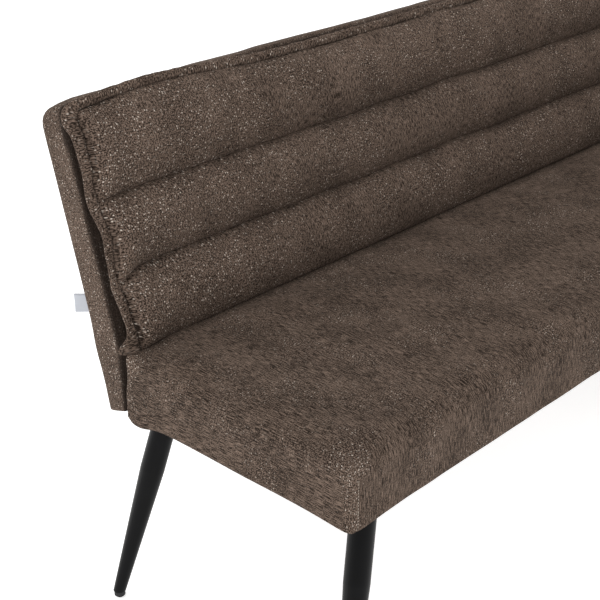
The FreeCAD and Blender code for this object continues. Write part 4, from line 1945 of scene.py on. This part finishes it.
@dataclass
class Studio:
    """Pale floor, soft light and the camera that took the view."""

    camera_from_seat: Place = (-1.284, -1.0912, 1.1951)
    looking: Place = (0.6593, 0.6143, -0.4336)
    lens: float = 81.92
    sensor: float = 36.0
    floor_half: float = 40.0
    floor_gap: float = 0.0005
    daylight: float = 0.62
    lit_place: Place = (0.0, 0.0, 0.5)
    lamps: tuple[tuple[str, Place, float, float], ...] = (
        ("key", (-3.4, -1.8, 3.0), 1.8, 40.0),
        ("rim", (-3.0, 2.6, 1.8), 1.6, 33.0),
        ("fill", (1.0, -3.2, 4.0), 3.0, 36.0),
        ("top", (0.2, 0.2, 4.2), 3.0, 44.0),
    )

    def build(self) -> None:
        """Set the camera, the floor, the sky and the lamps."""
        corner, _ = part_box("long_seat_cover")
        data = bpy.data.cameras.new("view")
        data.lens = self.lens
        data.sensor_width = self.sensor
        place = corner + Vector(self.camera_from_seat)
        bpy.context.scene.camera = self._aimed("view", data, place, Vector(self.looking))
        self._floor()
        world = bpy.data.worlds.new("soft_sky")
        world.use_nodes = True
        sky = world.node_tree.nodes["Background"].inputs
        sky["Color"].default_value = rgba((1.0, 1.0, 1.0))
        sky["Strength"].default_value = self.daylight
        bpy.context.scene.world = world
        bpy.context.scene.view_settings.view_transform = "Standard"
        for lamp in self.lamps:
            self._lamp(*lamp)

    def _floor(self) -> None:
        """Lay the floor."""
        mesh = bpy.data.meshes.new("studio_floor")
        half = self.floor_half
        corners = [(-half, -half, 0.0), (half, -half, 0.0), (half, half, 0.0), (-half, half, 0.0)]
        mesh.from_pydata(corners, [], [(0, 1, 2, 3)])
        mesh.materials.append(StudioPaper().material())
        floor = new_object("studio_floor", mesh)
        floor.location.z = CAD_LOW.z - self.floor_gap

    def _lamp(self, name: str, place: Place, size: float, power: float) -> None:
        """Hang one soft lamp that faces the bench.

        Args:
            name: Its name.
            place: Where it hangs.
            size: Its width.
            power: Its power, in watts.
        """
        data = bpy.data.lights.new(name, "AREA")
        data.shape = "DISK"
        data.size = size
        data.energy = power
        self._aimed(name, data, Vector(place), Vector(self.lit_place) - Vector(place))

    @staticmethod
    def _aimed(name: str, data: Any, place: Vector, direction: Vector) -> bpy.types.Object:
        """Set a camera or a lamp.

        Args:
            name: Its name.
            data: The camera or the lamp.
            place: Where it stands.
            direction: Where it faces.

        Returns:
            The object.
        """
        made = new_object(name, data)
        made.location = place
        made.rotation_mode = "QUATERNION"
        made.rotation_quaternion = direction.to_track_quat("-Z", "Y")
        return made


def dress_frame(finishes: dict[str, bpy.types.Material]) -> None:
    """Give every carried-over solid the finish of its slot.

    Args:
        finishes: Materials by slot name.
    """
    for row in frame["record"]["subparts"]:
        node = frame["nodes"][row["node"]]
        node.data.materials.clear()
        node.data.materials.append(finishes[row["material_slot"]])
        LOG.info("%s wears %s", row["node"], row["material_slot"])


def main() -> None:
    """Build every piece in order."""
    logging.basicConfig(level=logging.INFO, format="%(name)s: %(message)s")
    chenille = Chenille().material()
    # The seats take a darker pile than the backs, though both are one cloth: painted shade on the seats and
    # painted light on the backs. The seats' brushing and longer streaks are the cloth's own nap.
    brushed = Chenille(
        "brushed_chenille_painted_shade",
        pile=(0.166, 0.119, 0.092),
        streak_width=0.0011,
        streak_length=0.019,
        brushing=0.08,
        clouds=0.34,
        relief=1.65,
    ).material()
    border = Chenille("border_chenille", brushing=-0.16).material()
    finishes = {
        "chenille": chenille,
        "black_metal": PowderCoat().material(),
        "plate_steel": PowderCoat("plate_powder_coat", (0.010, 0.010, 0.011)).material(),
        "foot_plastic": MouldedNylon().material(),
        "plug_plastic": MouldedNylon("plug_nylon", (0.02, 0.02, 0.02)).material(),
        "zinc_steel": ZincSteel().material(),
        "timber": SawnTimber().material(),
        "foam": OpenFoam().material(),
        "dust_cloth": PlainCloth("dust_cloth", (0.018, 0.018, 0.019)).material(),
        "webbing": PlainCloth("elastic_webbing", (0.05, 0.05, 0.052), 0.0024).material(),
        "tag_cloth": PlainCloth("tag_tape", (0.54, 0.56, 0.605), 0.0008, 0.12).material(),
    }
    dress_frame(finishes)
    stitches = SeamStitches(StitchNodes(), SewingThread().material())
    for bench in Bench:
        seat = SeatCushion(bench, brushed)
        pieces = [seat.build()]
        pieces += [assembly(bench, chenille).build() for assembly in (BackShell, ChannelPad)]
        pieces.append(PadFlange(bench, border).build())
        pieces.append(stitches.build(f"{bench.value}_seat_stitches", seat.seam_line))
        for piece in pieces:
            LOG.info("%s has %d faces", piece.name, len(piece.data.polygons))
    LOG.info("%s is in its seam", TextileTag(finishes["tag_cloth"]).build().name)
    Studio().build()


if __name__ == "__main__":
    main()
